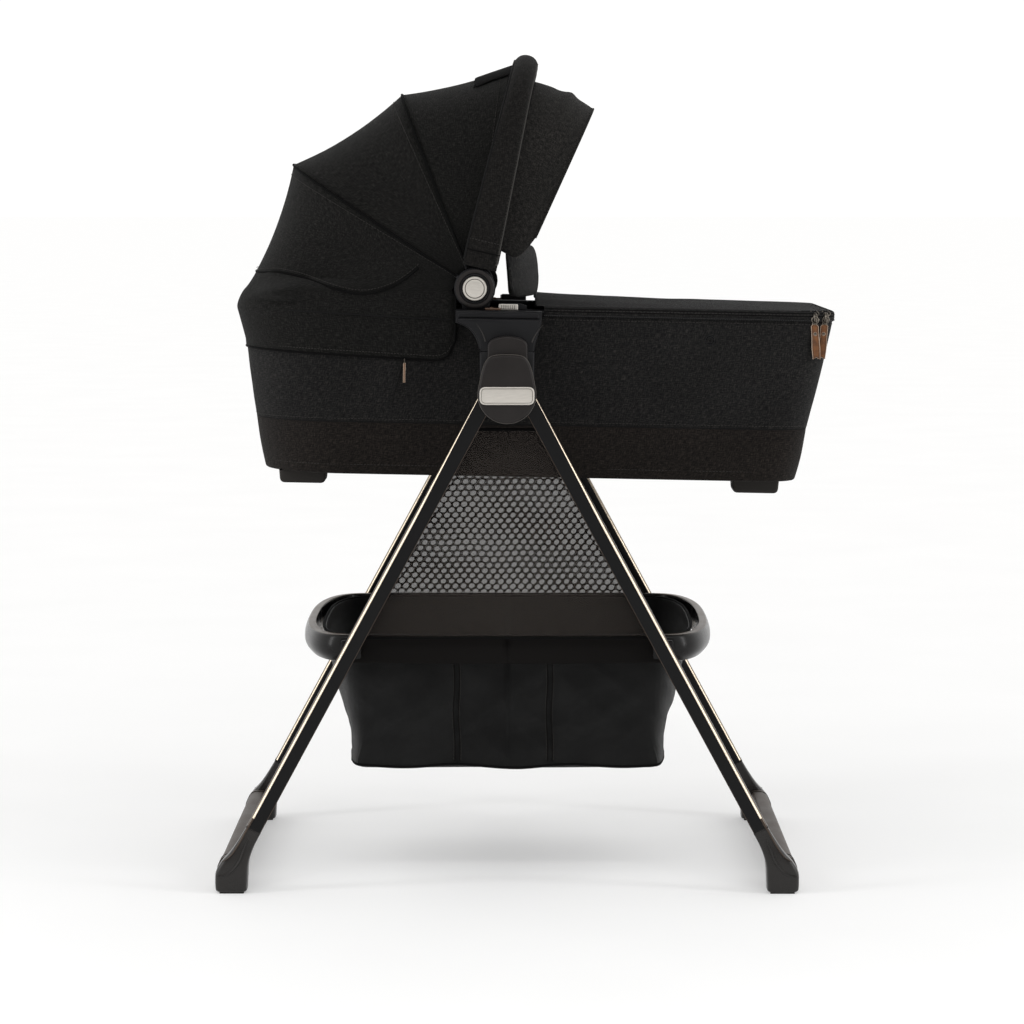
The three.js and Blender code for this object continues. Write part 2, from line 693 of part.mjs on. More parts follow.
// The skin between two hoops, sagging a little between them.
function panel(first, second, sag) {
  const rows = 4;
  const skinAt = (deep) => Array.from({ length: rows + 1 }, (_, i) => {
    const t = i / rows;
    const start = hoopStart(PANEL_START, first.reach);
    return hoopTurns(start).map((turn) => {
      const halfWidth = CANOPY_HALF_WIDTH - deep;
      const a = hoopPoint(turn, first.reach - deep, halfWidth);
      const b = hoopPoint(turn, second.reach - deep, halfWidth);
      const from = aroundPivot(a.out, a.y, first.angle);
      const to = aroundPivot(b.out, b.y, second.angle);
      const middle = from.lerp(to, t);
      const dip = sag * 4 * t * (1 - t) * Math.sin(turn) ** 2;
      const outward = vec(middle.x - PIVOT_X, 0, middle.z - PIVOT_Z).normalize();
      return middle.addScaledVector(outward, -dip);
    });
  });
  return skinSolid(skinAt(0), skinAt(CANOPY_SKIN));
}

const apart = (hoop, degrees) => ({ angle: hoop.angle + degrees, reach: hoop.reach });

function visorPanel() {
  const rows = 3;
  const edgeAngle = (out) => VISOR_EDGE_ANGLE
    - THREE.MathUtils.radToDeg(Math.asin(VISOR_EDGE_OFFSET / out));
  const skinAt = (deep) => Array.from({ length: rows + 1 }, (_, i) => {
    const turns = hoopTurns(hoopStart(VISOR_START, VISOR_REACH), 18);
    return turns.map((turn) => {
      const { out, y } = hoopPoint(turn, VISOR_REACH - deep, VISOR_HALF_WIDTH - deep);
      const front = edgeAngle(out) + 1;
      const back = 74;
      return aroundPivot(out, y, back + (front - back) * (i / rows));
    });
  });
  return skinSolid(skinAt(0), skinAt(2));
}

// A round bar along a list of stations, each with its centre and its two half-thickness vectors.
function bar(stations, sides = 8, power = 1) {
  const shaped = (value) => Math.sign(value) * Math.abs(value) ** power;
  return loft(stations.map(({ centre, wide, thick }) => Array.from({ length: sides }, (_, i) => {
    const angle = (2 * Math.PI * i) / sides;
    return centre.clone()
      .addScaledVector(wide, shaped(Math.cos(angle)))
      .addScaledVector(thick, shaped(Math.sin(angle)));
  })));
}

// Stations along a curve in the plane through the pivot axis at one angle.
function hoopStations(points, degrees, size) {
  const angle = THREE.MathUtils.degToRad(degrees);
  const radial = vec(Math.cos(angle), 0, Math.sin(angle));
  const tangent = vec(-Math.sin(angle), 0, Math.cos(angle));
  return points.map(({ out, y }, i) => {
    const before = points[Math.max(i - 1, 0)];
    const after = points[Math.min(i + 1, points.length - 1)];
    const along = radial.clone().multiplyScalar(after.out - before.out);
    along.y = after.y - before.y;
    const normal = new THREE.Vector3().crossVectors(tangent, along.normalize());
    const { wide, thick } = size(i / (points.length - 1));
    return {
      centre: aroundPivot(out, y, degrees),
      wide: tangent.clone().multiplyScalar(wide),
      thick: normal.multiplyScalar(thick),
    };
  });
}

function hoopCurve(reach, halfWidth, start, steps) {
  return hoopTurns(hoopStart(start, reach), steps).map((turn) => hoopPoint(turn, reach, halfWidth));
}

// A wire hoop that hangs from a flat disc on each side's pivot pin.
function wireHoop(hoop, halfWidth, discRadius, discInner, wireRadius) {
  const discThickness = 2.4;
  const discMiddle = discInner + discThickness / 2;
  const seat = discRadius - 1;
  const archStart = seat + 18;
  const flare = [{ out: seat, y: discMiddle - 0.8 }, { out: seat + 4, y: discMiddle - 6 }];
  const nearEnd = flare.map(({ out, y }) => ({ out, y: -y }));
  const farEnd = [...flare].reverse();
  const arch = hoopCurve(hoop.reach, halfWidth, archStart, 20);
  const wire = bar(hoopStations([...nearEnd, ...arch, ...farEnd], hoop.angle,
    () => ({ wide: wireRadius, thick: wireRadius })));
  const discs = [NEAR, FAR].map((side) =>
    disc(discRadius, discInner, discInner + discThickness, side, PIVOT_X, PIVOT_Z));
  const bores = [NEAR, FAR].map((side) =>
    disc(PIN_RADIUS + PIN_PLAY, discInner - 2, discInner + 5, side, PIVOT_X, PIVOT_Z, 16));
  return cut(join(wire, ...discs), ...bores);
}

function handleHoop() {
  const curve = hoopCurve(HOOPS.handle.reach, HANDLE_HALF_WIDTH, HANDLE_START, 30);
  const swell = (t) => Math.sin(Math.PI * t) ** 1.5;
  return bar(hoopStations(curve, HOOPS.handle.angle, (t) => ({
    wide: 27 - 9 * swell(t),
    thick: 6 + 11 * swell(t),
  })), 12, 0.75);
}

function pivotHousing(side) {
  const shell = disc(27, 234, 244, side, PIVOT_X, PIVOT_Z, 32);
  const recess = disc(17.6, 237.6, 246, side, PIVOT_X, PIVOT_Z);
  const bore = disc(PIN_RADIUS + PIN_PLAY, 230, 240, side, PIVOT_X, PIVOT_Z, 16);
  return cut(shell, recess, bore);
}

function pivotButton(side) {
  return disc(17, 241, 246, side, PIVOT_X, PIVOT_Z);
}

function visorWire() {
  const edge = THREE.MathUtils.degToRad(VISOR_EDGE_ANGLE);
  const curve = hoopCurve(VISOR_REACH - 4, VISOR_HALF_WIDTH - 4, VISOR_START, 18);
  const stations = curve.map(({ out, y }) => {
    const angle = edge - Math.asin(VISOR_EDGE_OFFSET / out);
    return aroundPivot(out, y, THREE.MathUtils.radToDeg(angle) - 1.2);
  });
  const forward = vec(Math.sin(edge), 0, -Math.cos(edge));
  return bar(stations.map((centre, i) => {
    const before = stations[Math.max(i - 1, 0)];
    const after = stations[Math.min(i + 1, stations.length - 1)];
    const along = after.clone().sub(before).normalize();
    const normal = new THREE.Vector3().crossVectors(forward, along).normalize();
    return { centre, wide: forward.clone().multiplyScalar(2.5), thick: normal.multiplyScalar(2.5) };
  }), 6);
}

// ---- Assembly ----
function mesh(name, geometry, material) {
  const node = new THREE.Mesh(facingOut(geometry), material);
  node.name = name;
  return node;
}

function stand() {
  const group = new THREE.Group();
  for (const [sideName, side] of Object.entries(SIDES)) {
    group.add(
      mesh(`hub_housing_${sideName}`, hubHousing(side), FINISH.greyPlastic),
      mesh(`hub_pin_${sideName}`, hubPin(side), FINISH.gunmetal),
      mesh(`hub_cover_${sideName}`, hubCover(side), FINISH.greyPlastic),
      mesh(`hub_badge_${sideName}`, hubBadge(side), FINISH.silver),
      mesh(`side_net_${sideName}`, sideNet(side), FINISH.mesh),
    );
  }
  for (const [endName, end] of Object.entries(ENDS)) {
    for (const [sideName, side] of Object.entries(SIDES)) {
      group.add(
        mesh(`${endName}_leg_${sideName}`, leg(side, end), FINISH.legPaint),
        mesh(`${endName}_shoe_${sideName}`, shoe(side, end), FINISH.blackPlastic),
        mesh(`${endName}_pad_${sideName}`, shoePad(side, end), FINISH.rubber),
      );
    }
    group.add(
      mesh(`${endName}_cross_bar`, footBar(end), FINISH.barPaint),
      mesh(`${endName}_ring_end`, ringEnd(end), FINISH.glossPlastic),
    );
  }
  group.add(mesh('basket_bag', basketBag(), FINISH.bag));
  return group;
}

function canopy() {
  const group = new THREE.Group();
  for (const [sideName, side] of Object.entries(SIDES)) {
    group.add(
      mesh(`pivot_housing_${sideName}`, pivotHousing(side), FINISH.blackPlastic),
      mesh(`pivot_button_${sideName}`, pivotButton(side), FINISH.silver),
    );
  }
  const { front, middle, rear, tail } = HOOPS;
  const under = CANOPY_SKIN + 4;
  const below = (hoop) => ({ angle: hoop.angle, reach: hoop.reach - under });
  group.add(
    mesh('handle_hoop', handleHoop(), FINISH.fabric),
    mesh('middle_hoop', wireHoop(below(middle), 210, 29, 230.6, 2.5), FINISH.blackPlastic),
    mesh('rear_hoop', wireHoop(below(rear), 217.5 - 2, 25, 227.5, 2.5), FINISH.blackPlastic),
    mesh('front_panel', panel(front, apart(middle, -0.3), 9), FINISH.fabric),
    mesh('middle_panel', panel(apart(middle, 0.3), apart(rear, -0.3), 9), FINISH.fabric),
    mesh('rear_panel', panel(apart(rear, 0.3), apart(tail, -0.3), 6), FINISH.fabric),
    mesh('visor_panel', visorPanel(), FINISH.fabric),
    mesh('visor_wire', visorWire(), FINISH.blackPlastic),
  );
  return group;
}

function bassinet() {
  const group = new THREE.Group();
  for (const [sideName, side] of Object.entries(SIDES)) {
    group.add(
      mesh(`side_mount_${sideName}`, sideMount(side), FINISH.blackPlastic),
      mesh(`release_slide_${sideName}`, releaseSlide(side), FINISH.silver),
    );
    for (const [endName, end] of Object.entries(ENDS)) {
      group.add(mesh(`tub_foot_${endName}_${sideName}`, bassinetFoot(side, end), FINISH.rubber));
    }
  }
  group.add(
    mesh('tub_shell', tubShell(), FINISH.fabric),
    mesh('base_board', baseBoard(), FINISH.greyPlastic),
    mesh('mattress', mattress(), FINISH.mattress),
    mesh('rim_frame', rimFrame(), FINISH.blackPlastic),
    mesh('canopy_skirt', canopySkirt(), FINISH.fabric),
    mesh('boot_cover', bootCover(), FINISH.fabric),
    mesh('cover_flap', coverFlap(), FINISH.fabric),
    mesh('zip_slider_left', zipSlider(431, 200), FINISH.gunmetal),
    mesh('zip_slider_right', zipSlider(445, 192), FINISH.gunmetal),
    mesh('zip_pull_left', zipPull(431, 202, 794), FINISH.leather),
    mesh('zip_pull_right', zipPull(445, 194, 794), FINISH.leather),
    mesh('side_zip_pull', zipPull(-148, 221, 742), FINISH.leather),
    canopy(),
  );
  return group;
}

// The bassinet leans about the hinge axis.
const leaning = new THREE.Group();
leaning.position.z = HUB_Z;
leaning.rotation.y = TILT;
const bassinetGroup = bassinet();
bassinetGroup.position.z = -HUB_Z;
leaning.add(bassinetGroup);

const model = new THREE.Group();
model.add(stand(), leaning);
const bounds = new THREE.Box3().setFromObject(model);
model.position.x = -(bounds.min.x + bounds.max.x) / 2;

export default model;
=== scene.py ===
"""A bassinet on its folding stand: the looks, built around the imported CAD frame.

Lengths are metres. The stand is drawn in the row frame. The bassinet is drawn level, with x
measured from the stand's hinge axis and z from the floor, and lean() tips it about that axis onto
the stand."""

import json
import math

import bmesh
import bpy
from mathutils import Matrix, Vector, noise
from mathutils.bvhtree import BVHTree


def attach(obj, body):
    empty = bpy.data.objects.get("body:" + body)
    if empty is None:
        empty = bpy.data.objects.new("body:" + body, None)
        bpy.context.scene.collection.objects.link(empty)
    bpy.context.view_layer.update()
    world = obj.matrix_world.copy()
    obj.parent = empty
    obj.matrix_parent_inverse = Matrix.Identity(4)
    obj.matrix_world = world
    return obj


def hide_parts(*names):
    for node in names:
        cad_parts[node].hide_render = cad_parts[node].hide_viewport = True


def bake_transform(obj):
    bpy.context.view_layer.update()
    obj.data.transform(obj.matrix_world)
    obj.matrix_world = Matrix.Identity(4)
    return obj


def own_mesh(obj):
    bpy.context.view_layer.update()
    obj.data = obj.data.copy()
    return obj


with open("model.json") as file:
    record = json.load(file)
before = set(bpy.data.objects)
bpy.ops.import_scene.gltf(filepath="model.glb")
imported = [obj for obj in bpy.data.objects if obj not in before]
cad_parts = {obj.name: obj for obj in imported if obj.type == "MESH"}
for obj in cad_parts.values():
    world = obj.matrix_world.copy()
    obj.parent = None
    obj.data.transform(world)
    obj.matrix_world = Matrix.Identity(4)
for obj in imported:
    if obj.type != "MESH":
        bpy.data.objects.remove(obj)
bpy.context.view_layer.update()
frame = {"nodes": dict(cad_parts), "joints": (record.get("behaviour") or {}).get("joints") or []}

# ---- Driving dimensions ----
JOINTS = {joint["name"]: joint for joint in frame["joints"]}
HUB = Vector(JOINTS["head_leg_fold"]["pos_m"])  # the stand's hinge axis
CANOPY_AXIS = Vector(JOINTS["handle_fold"]["pos_m"])  # the canopy's pivot axis
TILT = math.radians(1.1)  # the bassinet leans down towards its foot end
SIDES = {"near": -1, "far": 1}
ENDS = {"head": -1, "foot": 1}

LEG_ANGLE = math.radians(28.4)
LEG_LENGTH = 0.690
LEG_EXTRA = 0.0165  # how far a leg's paint runs down over the shoe's collar
LEG_OFFSET = 0.012  # hinge axis to the leg's inner face
LEG_WIDTH = 0.022
LEG_DEPTHS = (0.272, 0.294)  # from the middle plane
FOOT_DEPTHS = (0.264, 0.300)
RING_REACH = 0.2945
RING_HALF_WIDTH = 0.258
RING_BULGE = 0.074  # how far an end ring bows out of its straight arms
RING_ARM_END = 0.213
NET_BOTTOM = 0.357
NET_TOP = 0.652
NET_DEPTH = 0.263

TUB_BOTTOM = 0.583
TUB_SEAM = 0.654
TUB_BRIM = 0.810
TUB_CORNER = 0.120  # at the head end
TOE_CORNER = 0.052  # at the foot end, under the two zip pulls
TUB_PLANS = {  # head end, foot end and half width at each height
    TUB_BOTTOM: (-0.3495, 0.4145, 0.193),
    TUB_SEAM: (-0.362, 0.4275, 0.201),
    TUB_BRIM: (-0.382, 0.4605, 0.213),
}

PIVOT_X = -0.048
PIVOT_Z = 0.846
CANOPY_HALF_WIDTH = 0.222
CANOPY_ROUNDNESS = 3.4  # exponent of a hoop's superellipse
HANDLE = (78.3, 0.323)  # angle in degrees and reach of each hoop
FRONT = (82.0, 0.318)
MIDDLE = (112.5, 0.295)
REAR = (147.8, 0.317)
TAIL = (177.4, 0.321)
HANDLE_HALF_WIDTH = 0.235
VISOR_BACK = 75.0
VISOR_REACH = 0.306
VISOR_HALF_WIDTH = 0.211
VISOR_EDGE_ANGLE = 66.5
VISOR_EDGE_OFFSET = 0.048
SKIRT_FRONT = -0.0745
MOUNT_MIDDLE = -0.06
SKIRT_HEM = 0.745


def lean(x, y, z):
    """A point of the level bassinet, in the row frame."""
    up = z - HUB.z
    return Vector((
        HUB.x + x * math.cos(TILT) + up * math.sin(TILT),
        y,
        HUB.z + up * math.cos(TILT) - x * math.sin(TILT),
    ))


def leaned(points):
    return [lean(*p) for p in points]


def stand(x, y, z):
    """A point of the stand, in the row frame."""
    return Vector((HUB.x + x, y, z))


# ---- Curves ----
def lengths(points, closed=False):
    """The distance along a line of points, at each of them."""
    total, out = 0.0, [0.0]
    for a, b in zip(points, points[1:] + (points[:1] if closed else [])):
        total += (Vector(b) - Vector(a)).length
        out.append(total)
    return out


def resample(points, fractions):
    """The points of a line at the given fractions of its length."""
    marks = lengths(points)
    out, i = [], 0
    for fraction in fractions:
        target = fraction * marks[-1]
        while i < len(points) - 2 and marks[i + 1] < target:
            i += 1
        span = marks[i + 1] - marks[i] or 1.0
        out.append(Vector(points[i]).lerp(Vector(points[i + 1]), (target - marks[i]) / span))
    return out


def evenly(count):
    return [i / count for i in range(count + 1)]


def clamp(value):
    return min(1.0, max(0.0, value))


def hump(t):
    """0 at both ends of a run from 0 to 1, and 1 in its middle."""
    return math.sin(math.pi * t)


def around(count, shift=0.0):
    """Angles evenly round a circle."""
    return [2 * math.pi * (k + shift) / count for k in range(count)]


def curve(points, steps=6, closed=False):
    """A Catmull-Rom curve through a few points."""
    points = [Vector(p) for p in points]
    count = len(points)
    spans = count if closed else count - 1
    out = []
    for i in range(spans):
        if closed:
            p0, p1, p2, p3 = (points[(i + k) % count] for k in (-1, 0, 1, 2))
        else:
            p0, p1, p2, p3 = (points[min(max(i + k, 0), count - 1)] for k in (-1, 0, 1, 2))
        for s in range(steps):
            t = s / steps
            out.append(0.5 * (
                2 * p1 + (p2 - p0) * t
                + (2 * p0 - 5 * p1 + 4 * p2 - p3) * t * t
                + (3 * p1 - p0 - 3 * p2 + p3) * t * t * t
            ))
    return out if closed else out + [points[-1]]


def arc(x, z, radius, start, stop, steps=10):
    """Points of an arc, with its angles in degrees."""
    angles = [math.radians(start + (stop - start) * t) for t in evenly(steps)]
    return [(x + radius * math.cos(a), z + radius * math.sin(a)) for a in angles]


def rounded(corners, steps=5):
    """A closed outline from (x, z, corner radius) corners."""
    out, count = [], len(corners)
    for i, (x, z, radius) in enumerate(corners):
        here = Vector((x, z))
        before = Vector(corners[i - 1][:2])
        after = Vector(corners[(i + 1) % count][:2])
        start = here + (before - here).normalized() * radius
        stop = here + (after - here).normalized() * radius
        for t in evenly(steps) if radius else [0.5]:
            out.append(tuple((1 - t) ** 2 * start + 2 * t * (1 - t) * here + t * t * stop))
    return out


def box_outline(left, low, right, high, radius, upper=None, steps=5):
    """A rounded rectangle. upper is the radius of its upper corners where it differs."""
    top = radius if upper is None else upper
    return rounded(
        [(left, low, radius), (right, low, radius), (right, high, top), (left, high, top)], steps)


def disc(x, z, radius):
    return arc(x, z, radius, 0, 345, 23)


def inset(outline, by):
    """A closed outline moved inwards."""
    count = len(outline)
    area = sum(
        outline[i - 1][0] * outline[i][1] - outline[i][0] * outline[i - 1][1] for i in range(count)
    )
    turn = math.copysign(1.0, area)
    out = []
    for i, (x, z) in enumerate(outline):
        along = Vector(outline[(i + 1) % count]) - Vector(outline[i - 1])
        along.normalize()
        out.append((x - turn * along.y * by, z + turn * along.x * by))
    return out


def put(place, depth, outline):
    """The points of an (x, z) outline at one depth, through a place(x, depth, z)."""
    return [place(x, depth, z) for x, z in outline]


def rough(x, y, z):
    """Smooth noise at a place, about -1 to 1."""
    return noise.noise(Vector((x, y, z)))


# ---- Meshes ----
class Shape:
    """Collects the faces of one piece, with a UV map in metres and a finish for each face."""

    def __init__(self):
        self.points = []
        self.faces = []
        self.uvs = []
        self.finishes = []

    def grid(self, rows, finish=0, closed=False):
        """Quads between rows of points. finish is a number, or a function of row and column."""
        columns = len(rows[0])
        start = len(self.points)
        self.points += [Vector(p) for row in rows for p in row]
        across = [lengths(list(row), closed) for row in rows]
        down = [0.0]
        for a, b in zip(rows, rows[1:]):
            step = sum((Vector(q) - Vector(p)).length for p, q in zip(a, b)) / columns
            down.append(down[-1] + step)
        middle = columns // 2
        for i in range(len(rows) - 1):
            for j in range(columns if closed else columns - 1):
                k = (j + 1) % columns
                corners = [(i, j, j), (i, k, j + 1), (i + 1, k, j + 1), (i + 1, j, j)]
                self.faces.append([start + r * columns + c for r, c, _ in corners])
                self.uvs.append([
                    (across[r][u] - across[r][middle], down[r]) for r, _, u in corners])
                self.finishes.append(finish(i, j) if callable(finish) else finish)
        return self

    def cap(self, ring, finish=0):
        """A flat face across a closed ring of points."""
        start = len(self.points)
        ring = [Vector(p) for p in ring]
        self.points += ring
        self.faces.append(list(range(start, start + len(ring))))
        across = (ring[len(ring) // 4] - ring[0]).normalized()
        normal = sum((a.cross(b) for a, b in zip(ring, ring[1:] + ring[:1])), Vector()).normalized()
        other = normal.cross(across)
        self.uvs.append([(p.dot(across), p.dot(other)) for p in ring])
        self.finishes.append(finish)
        return self

    def solid(self, rings, finish=0):
        """A closed solid through rings of points."""
        first = finish(0, 0) if callable(finish) else finish
        last = finish(len(rings) - 1, 0) if callable(finish) else finish
        return self.grid(rings, finish, closed=True).cap(rings[0], first).cap(rings[-1], last)

    def tube(self, path, radius, finish=0, sides=6, closed=False, flat=1.0):
        """A round bar along a path; radius is a number or a function of the fraction along it."""
        path = [Vector(p) for p in path]
        count = len(path)
        rings = []
        side = None
        for i, p in enumerate(path):
            if closed:
                along = path[(i + 1) % count] - path[i - 1]
            else:
                along = path[min(i + 1, count - 1)] - path[max(i - 1, 0)]
            along.normalize()
            if side is None:
                side = along.orthogonal().normalized()
            side = (side - along * side.dot(along)).normalized()
            up = along.cross(side)
            r = radius(i / (count - 1)) if callable(radius) else radius
            rings.append([
                p + side * (r * math.cos(a)) + up * (r * flat * math.sin(a))
                for a in around(sides)
            ])
        if closed:
            return self.grid(rings + rings[:1], finish, closed=True)
        return self.solid(rings, finish)

    def stitches(self, path, finish, pitch=0.0045, radius=0.00035):
        """A row of stitches along a path that already lies on the surface."""
        total = lengths(path)[-1]
        count = max(2, int(total / pitch))
        marks = resample(path, [i / (2 * count) for i in range(2 * count + 1)])
        for i in range(0, 2 * count - 1, 2):
            a, b = marks[i], marks[i].lerp(marks[i + 1], 1.25)
            self.tube([a, b], radius, finish, sides=5)
        return self

    def plate(self, outline, depths, place, edge=0.001, finish=0, steps=3):
        """A plate of an (x, z) outline between two depths, with rounded edges.
        place(x, depth, z) gives each point's place."""
        inner, outer = depths
        turns = [math.pi / 2 * t for t in evenly(steps)]
        back = [(inner + edge * (1 - math.sin(a)), edge * (1 - math.cos(a))) for a in turns[::-1]]
        front = [(outer - edge * (1 - math.sin(a)), edge * (1 - math.cos(a))) for a in turns]
        rings = [put(place, d, inset(outline, by)) for d, by in [*back, *front]]
        return self.solid(rings, finish)

    def tree(self):
        return BVHTree.FromPolygons(self.points, self.faces)


SHARP = math.radians(38)  # edges sharper than this aren't smoothed
CLOTH = 0.0016  # thickness of the canopy's cloth


def make(name, shape, finishes, replaces=(), thickness=0.0):
    """The Blender object of a shape, not yet on a body."""
    mesh = bpy.data.meshes.new(name)
    mesh.from_pydata(shape.points, [], shape.faces)
    for polygon, finish in zip(mesh.polygons, shape.finishes):
        polygon.material_index = finish
        polygon.use_smooth = True
    layer = mesh.uv_layers.new(name="UVMap")
    corners = [uv for face in shape.uvs for uv in face]
    layer.data.foreach_set("uv", [value for uv in corners for value in uv])
    edit = bmesh.new()
    edit.from_mesh(mesh)
    bmesh.ops.remove_doubles(edit, verts=edit.verts, dist=2e-6)
    bmesh.ops.recalc_face_normals(edit, faces=edit.faces)
    edit.to_mesh(mesh)
    edit.free()
    mesh.set_sharp_from_angle(angle=SHARP)
    for finish in finishes:
        mesh.materials.append(finish)
    piece = bpy.data.objects.new(name, mesh)
    bpy.context.scene.collection.objects.link(piece)
    if thickness:
        shell = piece.modifiers.new("cloth", "SOLIDIFY")
        shell.thickness = thickness
        shell.offset = -1
    if replaces:
        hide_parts(*replaces)
    return piece


def placed(name, shape, finishes, body, replaces=(), thickness=0.0):
    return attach(make(name, shape, finishes, replaces, thickness), body)


def weigh(piece, a, b, weight):
    """Bakes piece's transform and works out a weight for each of its points, between two bodies;
    nothing applies the weights, so the piece doesn't bend.
    """
    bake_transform(piece)
    values = [min(max(weight(v.co), 0.0), 1.0) for v in piece.data.vertices]


def on_surface(tree, x, z, side, lift):
    """The place where a line across the bassinet meets a surface from outside, lifted off it."""
    start = lean(x, side * 0.5, z)
    place, normal, _, _ = tree.ray_cast(start, Vector((0, -side, 0)))
    if place is None:
        return lean(x, side * 0.21, z)
    if normal.y * side < 0:
        normal = -normal
    return place + normal * lift


# ---- Finishes ----
def shade(red, green, blue):
    """An sRGB colour, 0 to 255, as the linear colour that a shader takes."""
    def linear(value):
        value /= 255
        return value / 12.92 if value <= 0.04045 else ((value + 0.055) / 1.055) ** 2.4
    return (linear(red), linear(green), linear(blue), 1.0)


class Finish:
    """A material and short names for the nodes that it's made of."""

    def __init__(self, name, roughness=0.5, metallic=0.0, **sockets):
        self.material = bpy.data.materials.new(name)
        self.material.use_nodes = True
        self.nodes = self.material.node_tree.nodes
        self.links = self.material.node_tree.links
        self.shader = self.nodes["Principled BSDF"]
        self.set("Roughness", roughness)
        self.set("Metallic", metallic)
        for socket, value in sockets.items():
            self.set(socket.replace("_", " ").title().replace("Ior", "IOR"), value)

    def set(self, socket, value):
        self.shader.inputs[socket].default_value = value

    def link(self, value, socket):
        self.links.new(value, self.shader.inputs[socket])

    def node(self, kind, inputs=(), **settings):
        node = self.nodes.new(kind)
        for name, value in settings.items():
            setattr(node, name, value)
        for i, value in inputs:
            if isinstance(value, bpy.types.NodeSocket):
                self.links.new(value, node.inputs[i])
            else:
                node.inputs[i].default_value = value
        return node

    def place(self, kind="UV"):
        return self.node("ShaderNodeTexCoord").outputs[kind]

    def stretched(self, vector, scales):
        return self.node("ShaderNodeVectorMath", [(0, vector), (1, scales)],
                         operation="MULTIPLY").outputs[0]

    def noise(self, vector, scale=1.0, detail=2.0, roughness=0.5):
        return self.node("ShaderNodeTexNoise", [
            ("Vector", vector), ("Scale", scale), ("Detail", detail), ("Roughness", roughness),
        ]).outputs["Fac"]

    def sum(self, a, b, operation="ADD"):
        return self.node("ShaderNodeMath", [(0, a), (1, b)], operation=operation).outputs[0]

    def sine(self, value, pitch):
        turns = self.sum(value, 2 * math.pi / pitch, "MULTIPLY")
        return self.node("ShaderNodeMath", [(0, turns)], operation="SINE").outputs[0]

    def ramp(self, value, stops):
        node = self.node("ShaderNodeValToRGB", [(0, value)])
        elements = node.color_ramp.elements
        while len(elements) < len(stops):
            elements.new(0.5)
        for element, (position, colour) in zip(elements, stops):
            element.position = position
            element.color = colour if isinstance(colour, tuple) else (colour, colour, colour, 1.0)
        return node.outputs[0]

    def mixed(self, factor, a, b, mode="MIX"):
        node = self.node("ShaderNodeMix", data_type="RGBA", blend_type=mode)
        for socket, value in zip((node.inputs[0], node.inputs[6], node.inputs[7]), (factor, a, b)):
            if isinstance(value, bpy.types.NodeSocket):
                self.links.new(value, socket)
            else:
                socket.default_value = value
        return node.outputs[2]

    def bump(self, height, distance, strength=1.0):
        node = self.node("ShaderNodeBump", [("Height", height), ("Distance", distance),
                                            ("Strength", strength)])
        self.link(node.outputs[0], "Normal")


def woven(name, dark, middle, light, thread=0.0010, depth=0.00025, sheen=0.03, mottle_and_sheen=0.16,
          matte=(0.98, 0.8), specular=0.1):
    """A melange cloth: light and dark yarns cross, and each yarn changes tone along its length."""
    dark, middle, light = (shade(*colour) for colour in (dark, middle, light))
    f = Finish(name, 0.94, sheen_weight=sheen, sheen_roughness=0.45, specular_ior_level=specular)
    at = f.place()
    across = 1.0 / thread
    along = 130.0
    warp = f.noise(f.stretched(at, (across, along, 1)), 1.0, 1.5)
    weft = f.noise(f.stretched(at, (along, across, 1)), 1.0, 1.5)
    yarn = f.sum(f.sum(warp, weft), 0.5, "MULTIPLY")
    tone = f.ramp(yarn, [(0.36, dark), (0.5, middle), (0.66, light)])
    # Blotchy tone: random mottle at low values, painted sheen where it is strong.
    cloud = f.ramp(f.noise(at, 9.0 + 9.0 * mottle_and_sheen, 3.0), [(0.36, 1 - mottle_and_sheen), (0.66, 1.0)])
    f.link(f.mixed(1.0, tone, cloud, "MULTIPLY"), "Base Color")
    f.link(f.ramp(yarn, [(0.3, matte[0]), (0.7, matte[1])]), "Roughness")
    parts = f.node("ShaderNodeSeparateXYZ", [(0, at)])
    crossing = f.sum(f.sine(parts.outputs[0], 2 * thread), f.sine(parts.outputs[1], 2 * thread),
                     "MULTIPLY")
    f.bump(f.sum(crossing, f.sum(yarn, 1.5, "MULTIPLY")), depth)
    return f.material


def moulded(name, colour, roughness, grain=0.0009, depth=0.00006, metallic=0.0, coat=0.0,
            vary=0.22, specular=0.28):
    """Moulded plastic or paint with a fine grain and slightly uneven gloss."""
    f = Finish(name, roughness, metallic, coat_weight=coat, coat_roughness=0.12,
               specular_ior_level=specular)
    at = f.place("Object")
    cloud = f.noise(at, 22.0, 3.0)
    fine = f.noise(at, 1.0 / grain, 2.0)
    tone = f.ramp(cloud, [(0.3, 1 - vary), (0.7, 1.0)])
    f.link(f.mixed(1.0, shade(*colour), tone, "MULTIPLY"), "Base Color")
    gloss = f.ramp(f.sum(f.sum(cloud, fine), 0.5, "MULTIPLY"),
                   [(0.35, max(roughness - 0.06, 0.03)), (0.65, roughness + 0.08)])
    f.link(gloss, "Roughness")
    f.bump(fine, depth)
    return f.material


def brushed(name, colour, roughness=0.3, metallic=1.0):
    """Satin metal with fine lines along X."""
    f = Finish(name, roughness, metallic, anisotropic=0.4)
    at = f.place("Object")
    lines = f.noise(f.stretched(at, (60, 2600, 2600)), 1.0, 2.0)
    tone = f.ramp(lines, [(0.3, 0.82), (0.7, 1.0)])
    f.link(f.mixed(1.0, shade(*colour), tone, "MULTIPLY"), "Base Color")
    f.link(f.ramp(lines, [(0.3, roughness + 0.12), (0.7, roughness)]), "Roughness")
    f.bump(lines, 0.00002)
    return f.material


def leather(name, dark, light):
    f = Finish(name, 0.55, specular_ior_level=0.35)
    at = f.place("Object")
    pores = f.node("ShaderNodeTexVoronoi", [("Vector", at), ("Scale", 1500.0)]).outputs[0]
    stain = f.noise(at, 90.0, 4.0)
    f.link(f.ramp(stain, [(0.3, shade(*dark)), (0.7, shade(*light))]), "Base Color")
    f.link(f.ramp(stain, [(0.3, 0.45), (0.7, 0.7)]), "Roughness")
    f.bump(f.sum(pores, stain), 0.0002)
    return f.material


